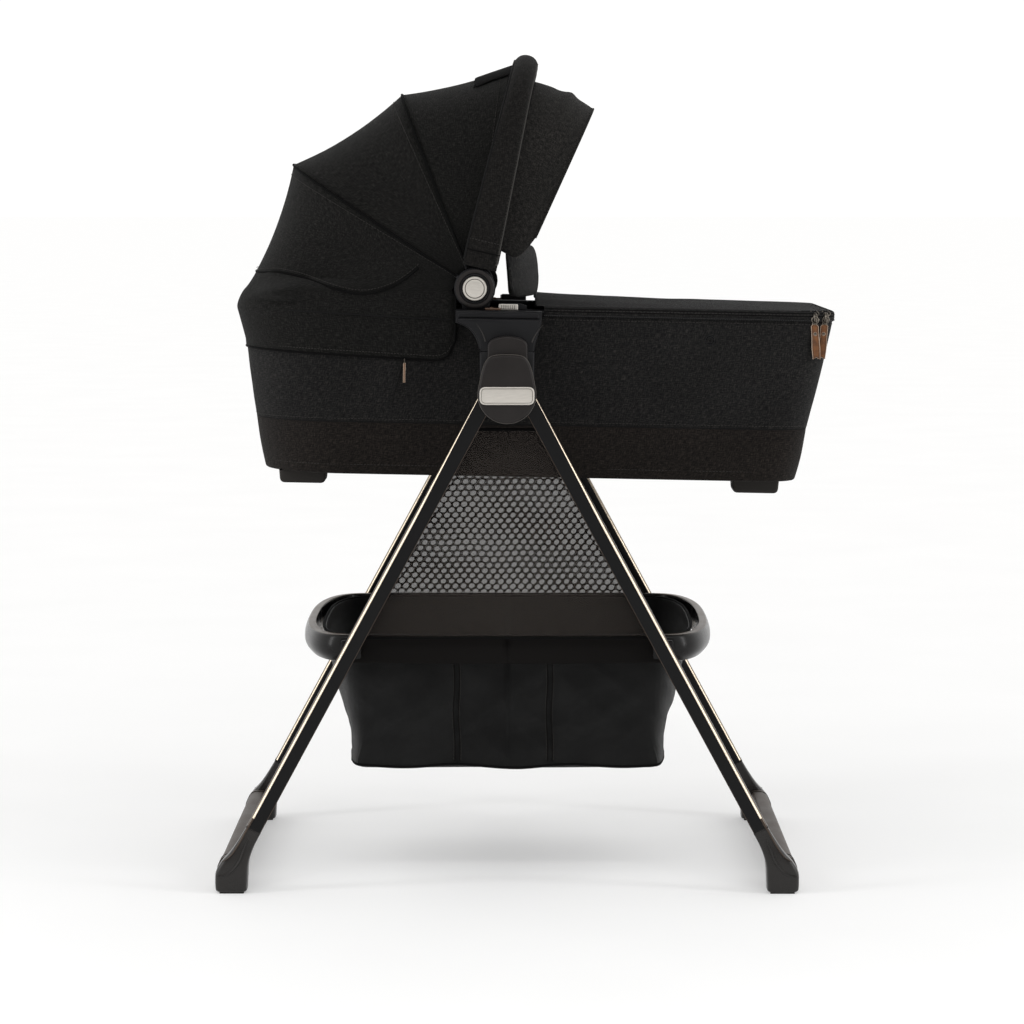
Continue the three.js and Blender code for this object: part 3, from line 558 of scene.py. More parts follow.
def mesh_film(name, colour, alpha):
    """A fine net, seen as a thin veil."""
    f = Finish(name, 0.9, alpha=alpha)
    at = f.place()
    tone = f.ramp(f.noise(at, 900.0), [(0.3, 0.6), (0.7, 1.0)])
    f.link(f.mixed(1.0, shade(*colour), tone, "MULTIPLY"), "Base Color")
    f.bump(f.noise(at, 1500.0), 0.0001)
    return f.material


TUB_CLOTH = woven("tub_cloth", (14, 14, 15), (25, 25, 25), (47, 45, 43))
# Lighter than the tub cloth because the flap faces the light: painted light.
FLAP_CLOTH_PAINTED_LIT = woven("flap_cloth_painted_lit", (21, 21, 22), (38, 38, 38), (66, 64, 62))
BAND_CLOTH = woven("band_cloth", (15, 13, 12), (26, 23, 21), (45, 40, 36))
CANOPY_CLOTH = woven("canopy_cloth", (11, 11, 10), (19, 19, 18), (38, 37, 35))
# Lighter than the canopy cloth because the visor faces the light: painted light.
VISOR_CLOTH_PAINTED_LIT = woven("visor_cloth_painted_lit", (19, 19, 18), (33, 32, 31), (56, 54, 51))
SLEEVE_CLOTH = woven("sleeve_cloth", (12, 12, 11), (21, 20, 19), (39, 37, 35))
LINING = woven("lining_cloth", (30, 30, 30), (44, 43, 42), (64, 62, 60), 0.0008)
# The bag's strong blotchy tone stands in for sheen on its folds: a painted sheen.
BAG_CLOTH = woven("bag_cloth", (7, 7, 7), (12, 12, 12), (21, 21, 21), 0.0007,
                  sheen=0.04, mottle_and_sheen=0.8, matte=(0.58, 0.46), specular=0.18)
BAG_RIM = moulded("bag_rim_cloth", (14, 12, 11), 0.75, grain=0.0005, specular=0.1)
QUILT = woven("mattress_quilt", (176, 171, 161), (214, 209, 199), (232, 228, 220),
              0.0008, mottle_and_sheen=0.1)
PIPING = moulded("piping", (13, 13, 13), 0.9, grain=0.0004, depth=0.00012, specular=0.06)
# Dark lines at seams, joints and slits; also painted shade along a crease and a gap.
DARK_SEAM_AND_SHADE = moulded("seam_groove_and_painted_shade", (9, 9, 9), 0.95)
THREAD = moulded("thread", (52, 50, 48), 0.8, grain=0.0003, depth=0.0001)
# A lighter line down the handle sleeve's edge: its seam, with a painted highlight.
SEAM_AND_HIGHLIGHT = moulded("sleeve_seam_and_painted_highlight", (56, 54, 51), 0.6, grain=0.0003, depth=0.0001)
ZIP_TAPE = woven("zip_tape", (12, 12, 12), (20, 20, 20), (30, 30, 30), 0.0006)
ZIP_TEETH = moulded("zip_teeth", (18, 18, 18), 0.35)
BLACK_PLASTIC = moulded("black_plastic", (20, 20, 22), 0.44, specular=0.18)
# Lighter plastic for the thin ribs on the mount's neck: painted highlights.
MOUNT_RIB_HIGHLIGHT = moulded("mount_rib_painted_highlight", (48, 45, 43), 0.46)
HUB_PLASTIC = moulded("hub_plastic_face", (36, 33, 32), 0.42, specular=0.18)
# A lighter line round the hub cover's rim: a painted highlight.
COVER_RIM_HIGHLIGHT = moulded("cover_rim_painted_highlight", (88, 84, 80), 0.36)
LEG_PAINT = moulded("leg_paint_black", (11, 11, 12), 0.34, grain=0.0005, depth=0.00002,
                    coat=0.04, specular=0.15)
# Bright stripes on the legs' rounded corners: a painted highlight.
LEG_PAINTED_HIGHLIGHT = brushed("leg_painted_highlight", (206, 192, 172), 0.24)
LEG_SIDE = moulded("leg_satin_side", (80, 70, 63), 0.34, metallic=0.85, grain=0.0005)
BAR_PAINT = moulded("bar_satin", (70, 61, 55), 0.5, metallic=0.55, grain=0.0006)
SHOE_PLASTIC = moulded("shoe_moulding", (28, 25, 23), 0.3, specular=0.38)
RING_PLASTIC = moulded("ring_moulding", (20, 19, 19), 0.22, grain=0.0006, depth=0.00002,
                       coat=0.03, specular=0.16)
RING_TOP_FACE = moulded("ring_satin", (96, 87, 80), 0.38, metallic=0.8)
RUBBER = moulded("rubber", (38, 35, 32), 0.75)
SILVER = brushed("satin_silver", (208, 203, 195), 0.4, 0.6)
SILVER_DARK = brushed("silver_groove", (120, 116, 110), 0.4)
GUNMETAL = brushed("gunmetal", (112, 106, 98), 0.25)
BROWN_ROD = moulded("brown_rod", (92, 72, 58), 0.4)
PULL_LEATHER = leather("pull_leather", (74, 44, 21), (116, 73, 38))
PULL_EDGE = leather("pull_edge", (150, 130, 112), (178, 158, 140))
NET_STRAND = moulded("net_strand", (33, 28, 23), 0.8, grain=0.0004, depth=0.0001)
NET_FILM = mesh_film("net_film", (40, 33, 27), 0.6)
BOARD = moulded("board_plastic", (60, 58, 55), 0.6)


# ---- Stage: floor, lights and camera ----
def staged(name, data):
    """A new object of the stage, which isn't part of the product."""
    thing = bpy.data.objects.new(name, data)
    bpy.context.scene.collection.objects.link(thing)
    return thing


def sheet_mesh(name, corners, finish):
    mesh = bpy.data.meshes.new(name)
    mesh.from_pydata(corners, [], [(0, 1, 2, 3)])
    mesh.materials.append(finish)
    return mesh


LENS_MM = 119.5
CAMERA_PLACE = (-0.0132, -5.0, 0.977)
CAMERA_DROP = math.radians(5.3266)  # how far it looks down
CAMERA_TURN = math.radians(0.1348)
WORLD_LIGHT = 1.06
FLOOR_GLOW = 0.30


def studio():
    paper = Finish("floor_paper", 0.9, emission_color=(1, 1, 1, 1), emission_strength=FLOOR_GLOW,
                   specular_ior_level=0.0)
    tone = paper.ramp(paper.noise(paper.place("Object"), 3.0), [(0.3, 0.65), (0.7, 0.665)])
    paper.link(tone, "Base Color")
    reach = 150.0
    ground = [(-reach, -reach, 0), (reach, -reach, 0), (reach, reach, 0), (-reach, reach, 0)]
    staged("floor", sheet_mesh("floor", ground, paper.material))

    black = moulded("flag_black", (20, 20, 20), 0.9)
    cards = {  # black cards that darken the front and the top, out of the camera's sight
        "flag_front": [(-4.5, -7.5, 1.2), (4.5, -7.5, 1.2), (4.5, -7.5, 6.0), (-4.5, -7.5, 6.0)],
        "flag_top": [(-1.2, -1.2, 3.0), (1.2, -1.2, 3.0), (1.2, 1.2, 3.0), (-1.2, 1.2, 3.0)],
    }
    for name, corners in cards.items():
        staged(name, sheet_mesh(name, corners, black)).visible_camera = False

    world = bpy.data.worlds.new("studio")
    world.use_nodes = True
    background = world.node_tree.nodes["Background"]
    background.inputs[0].default_value = (1.0, 0.995, 0.985, 1.0)
    background.inputs[1].default_value = WORLD_LIGHT
    bpy.context.scene.world = world

    soft_boxes = [  # place, size across and up, power
        ((-3.0, -1.2, 1.6), (0.5, 2.4), 28),
        ((3.0, -1.2, 1.6), (0.5, 2.4), 28),
        ((0.0, -2.6, 3.0), (2.4, 0.5), 20),
    ]
    aim = Vector((0, 0, 0.6))
    for i, (place, size, power) in enumerate(soft_boxes):
        data = bpy.data.lights.new(f"soft_box_{i}", "AREA")
        data.shape = "RECTANGLE"
        data.size, data.size_y = size
        data.energy = power
        light = staged(f"soft_box_{i}", data)
        light.location = place
        light.rotation_mode = "QUATERNION"
        light.rotation_quaternion = (aim - Vector(place)).to_track_quat("-Z", "Y")

    data = bpy.data.cameras.new("camera")
    data.lens = LENS_MM
    data.sensor_width = 36.0
    data.clip_end = 200.0
    camera = bpy.data.objects.new("camera", data)
    camera.location = CAMERA_PLACE
    camera.rotation_euler = (math.pi / 2 - CAMERA_DROP, 0, CAMERA_TURN)
    bpy.context.scene.collection.objects.link(camera)
    bpy.context.scene.camera = camera
    bpy.context.scene.view_settings.view_transform = "Standard"


studio()


# ---- The stand: legs, feet and cross bars ----
def leg_profile(soft):
    """(across, depth) points round a leg, and the finish of the face after each.
    0 is black, 1 is a bright painted highlight and 2 satin."""
    w = LEG_WIDTH
    chamfer, back, outer = 0.0009, 0.003, 0.0048
    points, finishes = [], []

    def turn(cx, cz, radius, start, stop, colours):
        for point, finish in zip(arc(cx, cz, radius, start, stop, len(colours) - 1), colours):
            points.append(point)
            finishes.append(finish)

    turn(back, back, back, 180, 270, (0, 0, 0, 0))
    # The bright stripes (finish 1) on these corners are painted highlights.
    turn(w - outer, outer, outer, 270, 360, (0, 1, 1, 0, 1, 2, 2))
    turn(w - soft, w - soft, soft, 0, 90, (2, 2, 2, 1, 1, 1, 0, 0, 0))
    points += [(w - soft - 0.0005, w), (chamfer + 0.0005, w), (chamfer, w), (0, w - chamfer)]
    finishes += [0, 0, 2, 0]
    return points, finishes


def leg_point(end, along, across, depth):
    x = end * (math.sin(LEG_ANGLE) * along + math.cos(LEG_ANGLE) * across)
    z = HUB.z - math.cos(LEG_ANGLE) * along + math.sin(LEG_ANGLE) * across
    return stand(x, depth, z)


def make_leg(end_name, side_name):
    end, side = ENDS[end_name], SIDES[side_name]
    finishes = leg_profile(0.002)[1]
    shape = Shape()
    # The soft corner widens downwards, so its satin and bright stripes grow wider lower down:
    # painted shade where the tub shades the legs' tops.
    rings = [
        [leg_point(end, along, LEG_OFFSET + across, side * (LEG_DEPTHS[0] + depth))
         for across, depth in leg_profile(0.0018 + 0.0055 * clamp(along / 0.17 - 0.25))[0]]
        for along in ((LEG_LENGTH + LEG_EXTRA) * t for t in evenly(28))
    ]
    shape.solid(rings, lambda i, j: finishes[j] if i < len(rings) - 1 else 0)
    knuckle_radius, knuckle = 0.0108, 0.0098
    start = LEG_DEPTHS[1] - knuckle if end < 0 else LEG_DEPTHS[0]
    ear = disc(0, 0, knuckle_radius)
    shape.plate(ear, (start, start + knuckle),
                lambda x, depth, z: stand(x, side * depth, HUB.z + z))
    web = [(0.0, -0.008), (0.0, 0.014), (0.019, 0.014), (0.019, 0.0)]
    shape.plate(web, (start + 0.0004, start + knuckle - 0.0004),
                lambda across, depth, along: leg_point(end, along, across, side * depth), 0.0005)
    placed(f"leg_{end_name}_{side_name}", shape, [LEG_PAINT, LEG_PAINTED_HIGHLIGHT, LEG_SIDE],
           f"{end_name}_leg_frame", [f"{end_name}_leg_{side_name}"])


def squircle(middle_a, half_a, middle_b, half_b, power, sides=28):
    """A rounded rectangle as (a, b) points; power 1 is an ellipse and 0 is square."""
    out = []
    for angle in around(sides, 0.5):
        c, s = math.cos(angle), math.sin(angle)
        out.append((
            middle_a + half_a * math.copysign(abs(c) ** power, c),
            middle_b + half_b * math.copysign(abs(s) ** power, s),
        ))
    return out


# Outer point (x, z), inner point (x, z) and the two depths of each section of a shoe, going down.
SHOE_STATIONS = [
    (0.3665, 0.0930, 0.3462, 0.0840, 0.2718, 0.2942),
    (0.3780, 0.0740, 0.3555, 0.0660, 0.2705, 0.2955),
    (0.3900, 0.0570, 0.3615, 0.0500, 0.2680, 0.2980),
    (0.4020, 0.0440, 0.3638, 0.0370, 0.2650, 0.2996),
    (0.4095, 0.0300, 0.3645, 0.0240, 0.2640, 0.3000),
    (0.4105, 0.0150, 0.3652, 0.0110, 0.2640, 0.3000),
    (0.4098, 0.0050, 0.3658, 0.0040, 0.2642, 0.2998),
    (0.4070, 0.0022, 0.3690, 0.0018, 0.2665, 0.2975),
]


def make_shoe(end_name, side_name):
    end, side = ENDS[end_name], SIDES[side_name]
    shape = Shape()
    rings = []
    stations = curve(SHOE_STATIONS, 4)
    for i, station in enumerate(stations):
        outer, inner = station[:2], station[2:4]
        depth_middle = (station[4] + station[5]) / 2
        depth_half = (station[5] - station[4]) / 2
        power = 0.22 + 0.16 * min(1.0, i / 12)
        rings.append([
            stand(end * (outer[0] + (inner[0] - outer[0]) * t), side * depth,
                  outer[1] + (inner[1] - outer[1]) * t)
            for t, depth in squircle(0.5, 0.5, depth_middle, depth_half, power)
        ])
    shape.solid(rings)
    edge_depth = lambda z: 0.2940 + 0.006 * clamp((0.098 - z) / 0.05)
    upper_lip = curve([(0.3560, 0.1062), (0.3660, 0.0890), (0.3760, 0.0710), (0.3860, 0.0560),
                       (0.3940, 0.0490), (0.4000, 0.0462)], 5)
    lower_lip = curve([(0.3640, 0.0760), (0.3700, 0.0610), (0.3760, 0.0460), (0.3860, 0.0330),
                       (0.3960, 0.0270), (0.4070, 0.0250)], 5)
    # The upper lip is real; its lighter satin finish is a painted highlight.
    shape.tube([stand(end * x, side * (edge_depth(z) - 0.0012), z) for x, z in upper_lip],
               lambda t: 0.0018 - 0.0014 * t, 1, sides=8)
    shape.tube([stand(end * x, side * (edge_depth(z) - 0.0006), z) for x, z in lower_lip],
               lambda t: 0.0007 + 0.0014 * hump(min(1.0, t * 0.9)), 2, sides=8)
    collar = [
        leg_point(end, LEG_LENGTH + LEG_EXTRA, LEG_OFFSET + across, side * (LEG_DEPTHS[0] + depth))
        for across, depth in [(0, 0), (LEG_WIDTH, 0), (LEG_WIDTH, LEG_WIDTH), (0, LEG_WIDTH)]
    ]
    shape.tube(collar, 0.0007, 0, closed=True)
    placed(f"shoe_{end_name}_{side_name}", shape, [SHOE_PLASTIC, LEG_SIDE, SHOE_PLASTIC],
           f"{end_name}_leg_frame", [f"{end_name}_shoe_{side_name}"])


def make_cross_bar(end_name):
    """The bar between an end's two shoes, with a crowned top and a step under each end."""
    end = ENDS[end_name]
    section = rounded([
        (0.3805, 0.0085, 0.004), (0.3805, 0.0470, 0.004), (0.3960, 0.0480, 0.004),
        (0.4030, 0.0445, 0.004), (0.4105, 0.0280, 0.006), (0.4095, 0.0085, 0.004),
    ])
    shape = Shape()
    reach = FOOT_DEPTHS[0] + 0.002
    rings = []
    for t in evenly(40):
        y = reach * (2 * t - 1)
        grow = 0.0016 * math.exp(-((reach - abs(y)) / 0.02) ** 2)
        rings.append([stand(end * x, y, z) for x, z in inset(section, -grow * 0.4)])
    shape.solid(rings)
    for y in (-0.252, 0.252):
        loop = [stand(end * x, y, z) for x, z in inset(section, -0.0004)]
        shape.tube(loop, 0.0008, 1, closed=True)
    placed(f"bar_{end_name}", shape, [BAR_PAINT, DARK_SEAM_AND_SHADE], f"{end_name}_leg_frame",
           [f"{end_name}_cross_bar"])


# ---- The stand: hubs ----
def stand_place(side):
    return lambda x, depth, z: stand(x, side * depth, z)


def hub_cover_outline():
    lobe = arc(0, 0.702, 0.040, 180, 360, 24)
    right = curve([(0.0398, 0.7060), (0.0372, 0.7200), (0.0342, 0.7340), (0.0302, 0.7455),
                   (0.0238, 0.7535), (0.0150, 0.7562)], 6)
    top = [(x, 0.7568) for x in (0.008, 0.0, -0.008)]
    left = [(-x, z) for x, z in reversed(right)]
    return lobe[:-1] + right + top + left[:-1]


def make_hub(side_name):
    side = SIDES[side_name]
    place = stand_place(side)
    cover = Shape()
    cover.plate(hub_cover_outline(), (0.2952, 0.3060), place, edge=0.0034, steps=6)
    # A lighter line round the cover's rim: a painted highlight.
    cover.tube(put(place, 0.2998, inset(hub_cover_outline(), -0.0002)), 0.0007, 1, closed=True)
    placed(f"cover_{side_name}", cover, [HUB_PLASTIC, COVER_RIM_HIGHLIGHT], "stand_hubs",
           [f"hub_cover_{side_name}"])

    badge = Shape()
    outline = box_outline(-0.038, 0.688, 0.038, 0.713, 0.009, steps=8)
    badge.plate(outline, (0.3061, 0.3088), place, edge=0.0012, steps=4)
    badge.tube(put(place, 0.3087, inset(outline, 0.0026)), 0.00045, 1, closed=True)
    placed(f"badge_{side_name}", badge, [SILVER, SILVER_DARK], "stand_hubs",
           [f"hub_badge_{side_name}"])

    insert = Shape()
    outline = [(-0.0270, 0.716), (0.0285, 0.716)]
    outline += [(0.0008 + 0.0277 * math.cos(a), 0.7650 + 0.0170 * math.sin(a) ** 0.7)
                for a in (math.pi * t for t in evenly(24))]
    insert.plate(outline, (0.2705, 0.2902), place, edge=0.003, steps=5)
    placed(f"insert_{side_name}", insert, [HUB_PLASTIC], "stand_hubs")

    housing = Shape()

    def level(z, half, first, last, corner=0.004):
        outline = box_outline(-half, first, half, last, corner)
        return [place(x, depth, z) for x, depth in outline]

    outside = [level(HUB.z - 0.0360 * math.cos(a), max(0.004, 0.0375 * math.sin(a)), 0.2402, 0.2735)
               for a in (math.pi / 2 * t for t in evenly(10)[1:])]
    outside += [level(0.7585, 0.0385, 0.2402, 0.2735), level(0.7598, 0.0376, 0.2411, 0.2726)]
    pocket = [level(0.7598, 0.0335, 0.2462, 0.2658, 0.002),
              level(0.6950, 0.0325, 0.2466, 0.2654, 0.002)]
    housing.solid(outside + pocket)
    placed(f"housing_{side_name}", housing, [BLACK_PLASTIC], "stand_hubs",
           [f"hub_housing_{side_name}"])
    carry(f"hub_pin_{side_name}", GUNMETAL, 0.0012)


def carry(node, finish, bevel=0.0):
    """A CAD node that is shown as it is, with a finish and softened edges."""
    piece = frame["nodes"][node]
    piece.data.materials.clear()
    piece.data.materials.append(finish)
    if bevel:
        edge = piece.modifiers.new("soft_edges", "BEVEL")
        edge.width = bevel
        edge.segments = 2
        edge.limit_method = "ANGLE"
        edge.angle_limit = math.radians(35)
        edge.harden_normals = False
    return piece


# ---- The stand: storage ring and basket ----
# The ring's section: outwards from its outer face, and up from its underside, going round.
RING_SECTION = rounded([
    (-0.0160, 0.3230, 0.003), (-0.0140, 0.3605, 0.0025), (-0.0030, 0.3612, 0.004),
    (0.0020, 0.3500, 0.008), (0.0020, 0.3340, 0.007), (-0.0090, 0.3220, 0.004),
], 4)


def bulged_end(reach, half_width, bulge, steps=44, power=2.7):
    """(x, y) from the near side to the far side round the foot end of a bulging plan."""
    out = []
    for t in evenly(steps):
        turn = math.pi * (t - 0.5)
        c, n = abs(math.cos(turn)) ** (2 / power), math.sin(turn)
        y = half_width * math.copysign(abs(n) ** (2 / power), n)
        out.append((reach - bulge + bulge * c, y))
    return [tuple(p) for p in resample([Vector((x, y, 0)) for x, y in out], evenly(steps))]


def ring_path(end):
    """(point, outward direction) along an end's U, from its near arm to its far one."""
    bend = bulged_end(RING_REACH, RING_HALF_WIDTH, RING_BULGE)
    straight = RING_REACH - RING_BULGE
    arm = [(RING_ARM_END + (straight - RING_ARM_END) * t, -RING_HALF_WIDTH) for t in evenly(3)[:-1]]
    line = arm + [(x, y) for x, y, _ in bend] + [(x, -y) for x, y in reversed(arm)]
    out = []
    for i, (x, y) in enumerate(line):
        ahead, behind = line[min(i + 1, len(line) - 1)], line[max(i - 1, 0)]
        dx, dy = ahead[0] - behind[0], ahead[1] - behind[1]
        size = math.hypot(dx, dy)
        out.append(((end * x, y), (end * dy / size, -dx / size)))
    return out


def make_ring_end(end_name):
    end = ENDS[end_name]
    shape = Shape()
    rings = [
        [stand(x + nx * out, y + ny * out, z) for out, z in RING_SECTION]
        for (x, y), (nx, ny) in ring_path(end)
    ]
    top = [z > 0.3595 for _, z in RING_SECTION]
    wide = len(RING_SECTION)
    shape.solid(rings, lambda i, j: 1 if top[j % wide] and top[(j + 1) % wide] else 0)
    edge = [stand(x - nx * 0.0135, y - ny * 0.0135, 0.3604) for (x, y), (nx, ny) in ring_path(end)]
    shape.tube(edge, 0.0009, 1)
    for side in SIDES.values():
        lug = box_outline(0.205, 0.329, 0.233, 0.355, 0.003)
        depths = (RING_HALF_WIDTH - 0.006, LEG_DEPTHS[0] + 0.0005)
        shape.plate([(end * x, z) for x, z in lug], depths, stand_place(side), 0.001)
    placed(f"ring_{end_name}", shape, [RING_PLASTIC, RING_TOP_FACE], f"{end_name}_leg_frame",
           [f"{end_name}_ring_end"])


BAG_PROFILE = [  # height, half length and half width, going down
    (0.3560, 0.2680, 0.2370), (0.3400, 0.2680, 0.2370), (0.3260, 0.2650, 0.2350),
    (0.3050, 0.2570, 0.2310), (0.2640, 0.2450, 0.2250), (0.2300, 0.2350, 0.2150),
    (0.2050, 0.2290, 0.2090), (0.1850, 0.2275, 0.2070), (0.1665, 0.2275, 0.2060),
]
BAG_SEAMS = (-0.072, 0.060)  # where seams run down the bag's long sides


def bag_loop(half_length, half_width, corner, z):
    """A plan round the basket with bulging ends, with more points than it needs, for its folds."""
    bulge = corner
    end = [(x, y) for x, y, _ in bulged_end(half_length, half_width, bulge, 60, 3.0)]
    side = [((half_length - bulge) * (2 * t - 1), -half_width) for t in evenly(64)[1:-1]]
    loop = side + end + [(-x, -y) for x, y in side] + [(-x, -y) for x, y in end]
    return [Vector((x, y, z)) for x, y in loop]


def bag_fold(x, y, z):
    """How far the cloth moves outwards at a place, by slack folds and pulled seams."""
    slack = math.sin(math.pi * clamp((0.335 - z) / 0.175)) ** 0.6
    place = Vector((x * 6.0 + z * 5.0, y * 6.0, z * 3.0 - x * 2.5))
    soft = noise.noise(place) * 0.0110
    down = Vector((x * 15 + z * 17, y * 15, z * 5 - x * 3))
    cross = Vector((x * 13 - z * 15 + 7, y * 13 + 3, z * 6))
    fine = 0.0105 * abs(noise.noise(down)) ** 0.8 + 0.0085 * abs(noise.noise(cross)) ** 0.8 - 0.004
    seam = 0.0
    for at in BAG_SEAMS:
        seam -= 0.0042 * math.exp(-((x - at) / 0.006) ** 2)
    calm = 1 - 0.55 * clamp((abs(x) - 0.17) / 0.05)
    return ((soft - fine) * calm + seam * (abs(y) > 0.19)) * slack


def make_basket():
    shape = Shape()
    corner_at = lambda z: 0.020 + 0.048 * clamp((z - 0.175) / 0.14)
    heights = curve([Vector(row) for row in BAG_PROFILE], 5)

    def ring(row, inward=0.0):
        z, half_length, half_width = row
        full = corner_at(z)
        loop = bag_loop(half_length - inward, half_width - inward, full - inward, z)
        count = len(loop)
        out = []
        for i, p in enumerate(loop):
            along = (loop[(i + 1) % count] - loop[i - 1]).normalized()
            outward = Vector((along.y, -along.x, 0))
            low = max(0.0, (0.20 - z) / 0.03)
            sag = 0.0045 * low * (0.5 + 0.5 * math.sin(p.x * 38 + 1.2)) * (1 - (p.x / 0.24) ** 4)
            p = p + outward * bag_fold(p.x, p.y, z)
            out.append(stand(p.x, p.y, p.z - max(0.0, sag)))
        return out

    outside = [ring(row) for row in heights]
    last = heights[-1]
    under = []
    for t in (0.03, 0.12, 0.35, 0.7, 0.97):
        z, half_length, half_width = last
        loop = bag_loop(half_length - 0.002, half_width - 0.002, corner_at(z) - 0.002, z - 0.002)
        under.append([
            stand(p.x * (1 - t), p.y * (1 - t),
                  p.z - 0.001 - 0.006 * hump(t) * (1 + 0.6 * math.sin(p.x * 30)))
            for p in loop
        ])
    shape.grid(outside + under, closed=True)
    inside = [ring(row, 0.0035) for row in heights]
    inner_floor = [[stand(p.x - HUB.x, p.y, p.z + 0.006).lerp(stand(0, 0, 0.176), t)
                    for p in inside[-1]] for t in (0.06, 0.35, 0.7, 0.97)]
    shape.grid([outside[0]] + inside + inner_floor, closed=True)

    tree = shape.tree()
    for side in SIDES.values():
        rail = rounded([(0.0, 0.3205, 0.004), (0.0, 0.3610, 0.0055), (0.0190, 0.3610, 0.0055),
                        (0.0170, 0.3205, 0.004)], 5)
        rings = []
        for t in evenly(60):
            x = (RING_ARM_END + 0.014) * (2 * t - 1)
            sag = 0.0018 * math.cos(math.pi * (t - 0.5)) + 0.0006 * rough(x * 30, 0, side)
            rings.append([stand(x, side * (0.2355 + out), z - sag) for out, z in rail])
        shape.solid(rings, 1)
        crest = [r[9] for r in rings]
        shape.tube([p + Vector((0, side * 0.0008, 0.0002)) for p in crest], 0.0006, 2)
        for at in BAG_SEAMS:
            for shift in (-0.0035, 0.0035):
                line = []
                for t in evenly(30):
                    z = 0.318 - 0.145 * t
                    start = stand(at + shift + 0.001 * math.sin(9 * t), side * 0.5, z)
                    hit = tree.ray_cast(start, Vector((0, -side, 0)))[0]
                    if hit:
                        line.append(hit + Vector((0, side * 0.0004, 0)))
                shape.tube(line, 0.0007, 1, sides=5)
                shape.stitches([p + Vector((0.0016 * math.copysign(1, shift), side * 0.0003, 0))
                                for p in line], 3, pitch=0.005, radius=0.0004)
    hem = [p + Vector((0, 0, 0.0005)) for p in outside[0]]
    shape.tube(hem, 0.0022, 2, closed=True)
    shape.tube(outside[-2], 0.0013, 2, closed=True)

    for end_name, end in ENDS.items():
        # The bag is cut in two, a half for each end, and each point gets a weight for following the
        # legs; the weights aren't applied and the halves aren't put on any body.
        bag = make(f"basket_{end_name}", shape, [BAG_CLOTH, BAG_RIM, PIPING, THREAD],
                   ["basket_bag"] if end_name == "head" else [])
        half = bmesh.new()
        half.from_mesh(bag.data)
        bmesh.ops.bisect_plane(half, geom=half.verts[:] + half.edges[:] + half.faces[:],
                               plane_co=stand(0, 0, 0), plane_no=(end, 0, 0), clear_inner=True)
        half.to_mesh(bag.data)
        half.free()

        def follow(p):
            hang = 1 - 0.32 * clamp((0.30 - p.z) / 0.135)
            return hang * min(1.0, abs(p.x - stand(0, 0, 0).x) / RING_ARM_END)

        weigh(bag, "stand_hubs", f"{end_name}_leg_frame", follow)


def make_net(side_name):
    """A coarse net over a fine veil, stretched between the legs; only the far net has slanting oval
    holes.
    """
    side = SIDES[side_name]
    slope = math.tan(LEG_ANGLE)
    border = 0.022
    pitch_x, pitch_z = 0.0128, 0.0086
    half_at = lambda z: (HUB.z - z) * slope + border
    shape = Shape()
    depth = side * (NET_DEPTH + 0.0006)
    rows = int((NET_TOP - NET_BOTTOM) / pitch_z) if side_name == "far" else 0
    hole_sides = 12
    for row in range(rows):
        z = NET_BOTTOM + pitch_z * (row + 0.5)
        half = half_at(z)
        shift = 0.5 * (row % 2) + 0.04 * row
        first = math.floor(-half / pitch_x - shift)
        for column in range(first, first + int(2 * half / pitch_x) + 3):
            x = (column + shift) * pitch_x
            if abs(x) > half:
                continue
            wave = 0.0010 * math.sin(z * 60 + x * 9) + 0.0007 * math.sin(x * 75)
            lag = 0.04 * pitch_x
            corners = [(x - lag, z - pitch_z), (x + pitch_x / 2, z), (x + lag, z + pitch_z),
                       (x - pitch_x / 2, z)]
            swell = 1.0 + 0.05 * math.sin(x * 33 + z * 21) + 0.03 * math.sin(z * 90)
            tip = math.radians(34 + 10 * math.sin(x * 20))
            wide, high = 0.0046 * swell, 0.0037 * swell
            hole, rim = [], []
            for k in range(hole_sides):
                a = 2 * math.pi * k / hole_sides - math.pi / 2
                r = wide * high / math.hypot(high * math.cos(a - tip), wide * math.sin(a - tip))
                hole.append((x + r * math.cos(a), z + r * math.sin(a)))
                along = 4 * k / hole_sides
                c = int(along)
                p, q = Vector(corners[c]), Vector(corners[(c + 1) % 4])
                rim.append(tuple(p.lerp(q, along - c)))
            move = lambda points: [stand(px, depth, pz + wave) for px, pz in points]
            shape.grid([move(rim), move(hole)], 0, closed=True)
    for edge in (-1, 1):
        line = [(edge * (half_at(z) - 0.004), z) for z in (NET_BOTTOM, NET_TOP)]
        shape.tube([stand(x, depth, z) for x, z in line], 0.0022, 1)
    for z in (NET_BOTTOM + 0.001, NET_TOP - 0.001):
        line = [stand(half_at(z) * (2 * t - 1), depth, z) for t in evenly(20)]
        shape.tube(line, 0.0022, 1)
    net = make(f"net_{side_name}", shape, [NET_STRAND, PIPING], [f"side_net_{side_name}"],
               thickness=0.0005)
    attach(net, "stand_hubs")

    veil = Shape()
    veil.grid([
        [stand(half_at(z) * (2 * t - 1), side * (NET_DEPTH - 0.0005), z) for t in evenly(24)]
        for z in (NET_BOTTOM + (NET_TOP - NET_BOTTOM) * t for t in evenly(16))
    ])
    film = make(f"net_veil_{side_name}", veil, [NET_FILM])
    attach(film, "stand_hubs")
    for piece in (net, film):
        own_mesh(piece)


for side_name in SIDES:
    make_hub(side_name)
    make_net(side_name)
    for end_name in ENDS:
        make_leg(end_name, side_name)
        make_shoe(end_name, side_name)
        carry(f"{end_name}_pad_{side_name}", RUBBER, 0.001)
for end_name in ENDS:
    make_cross_bar(end_name)
    make_ring_end(end_name)
make_basket()


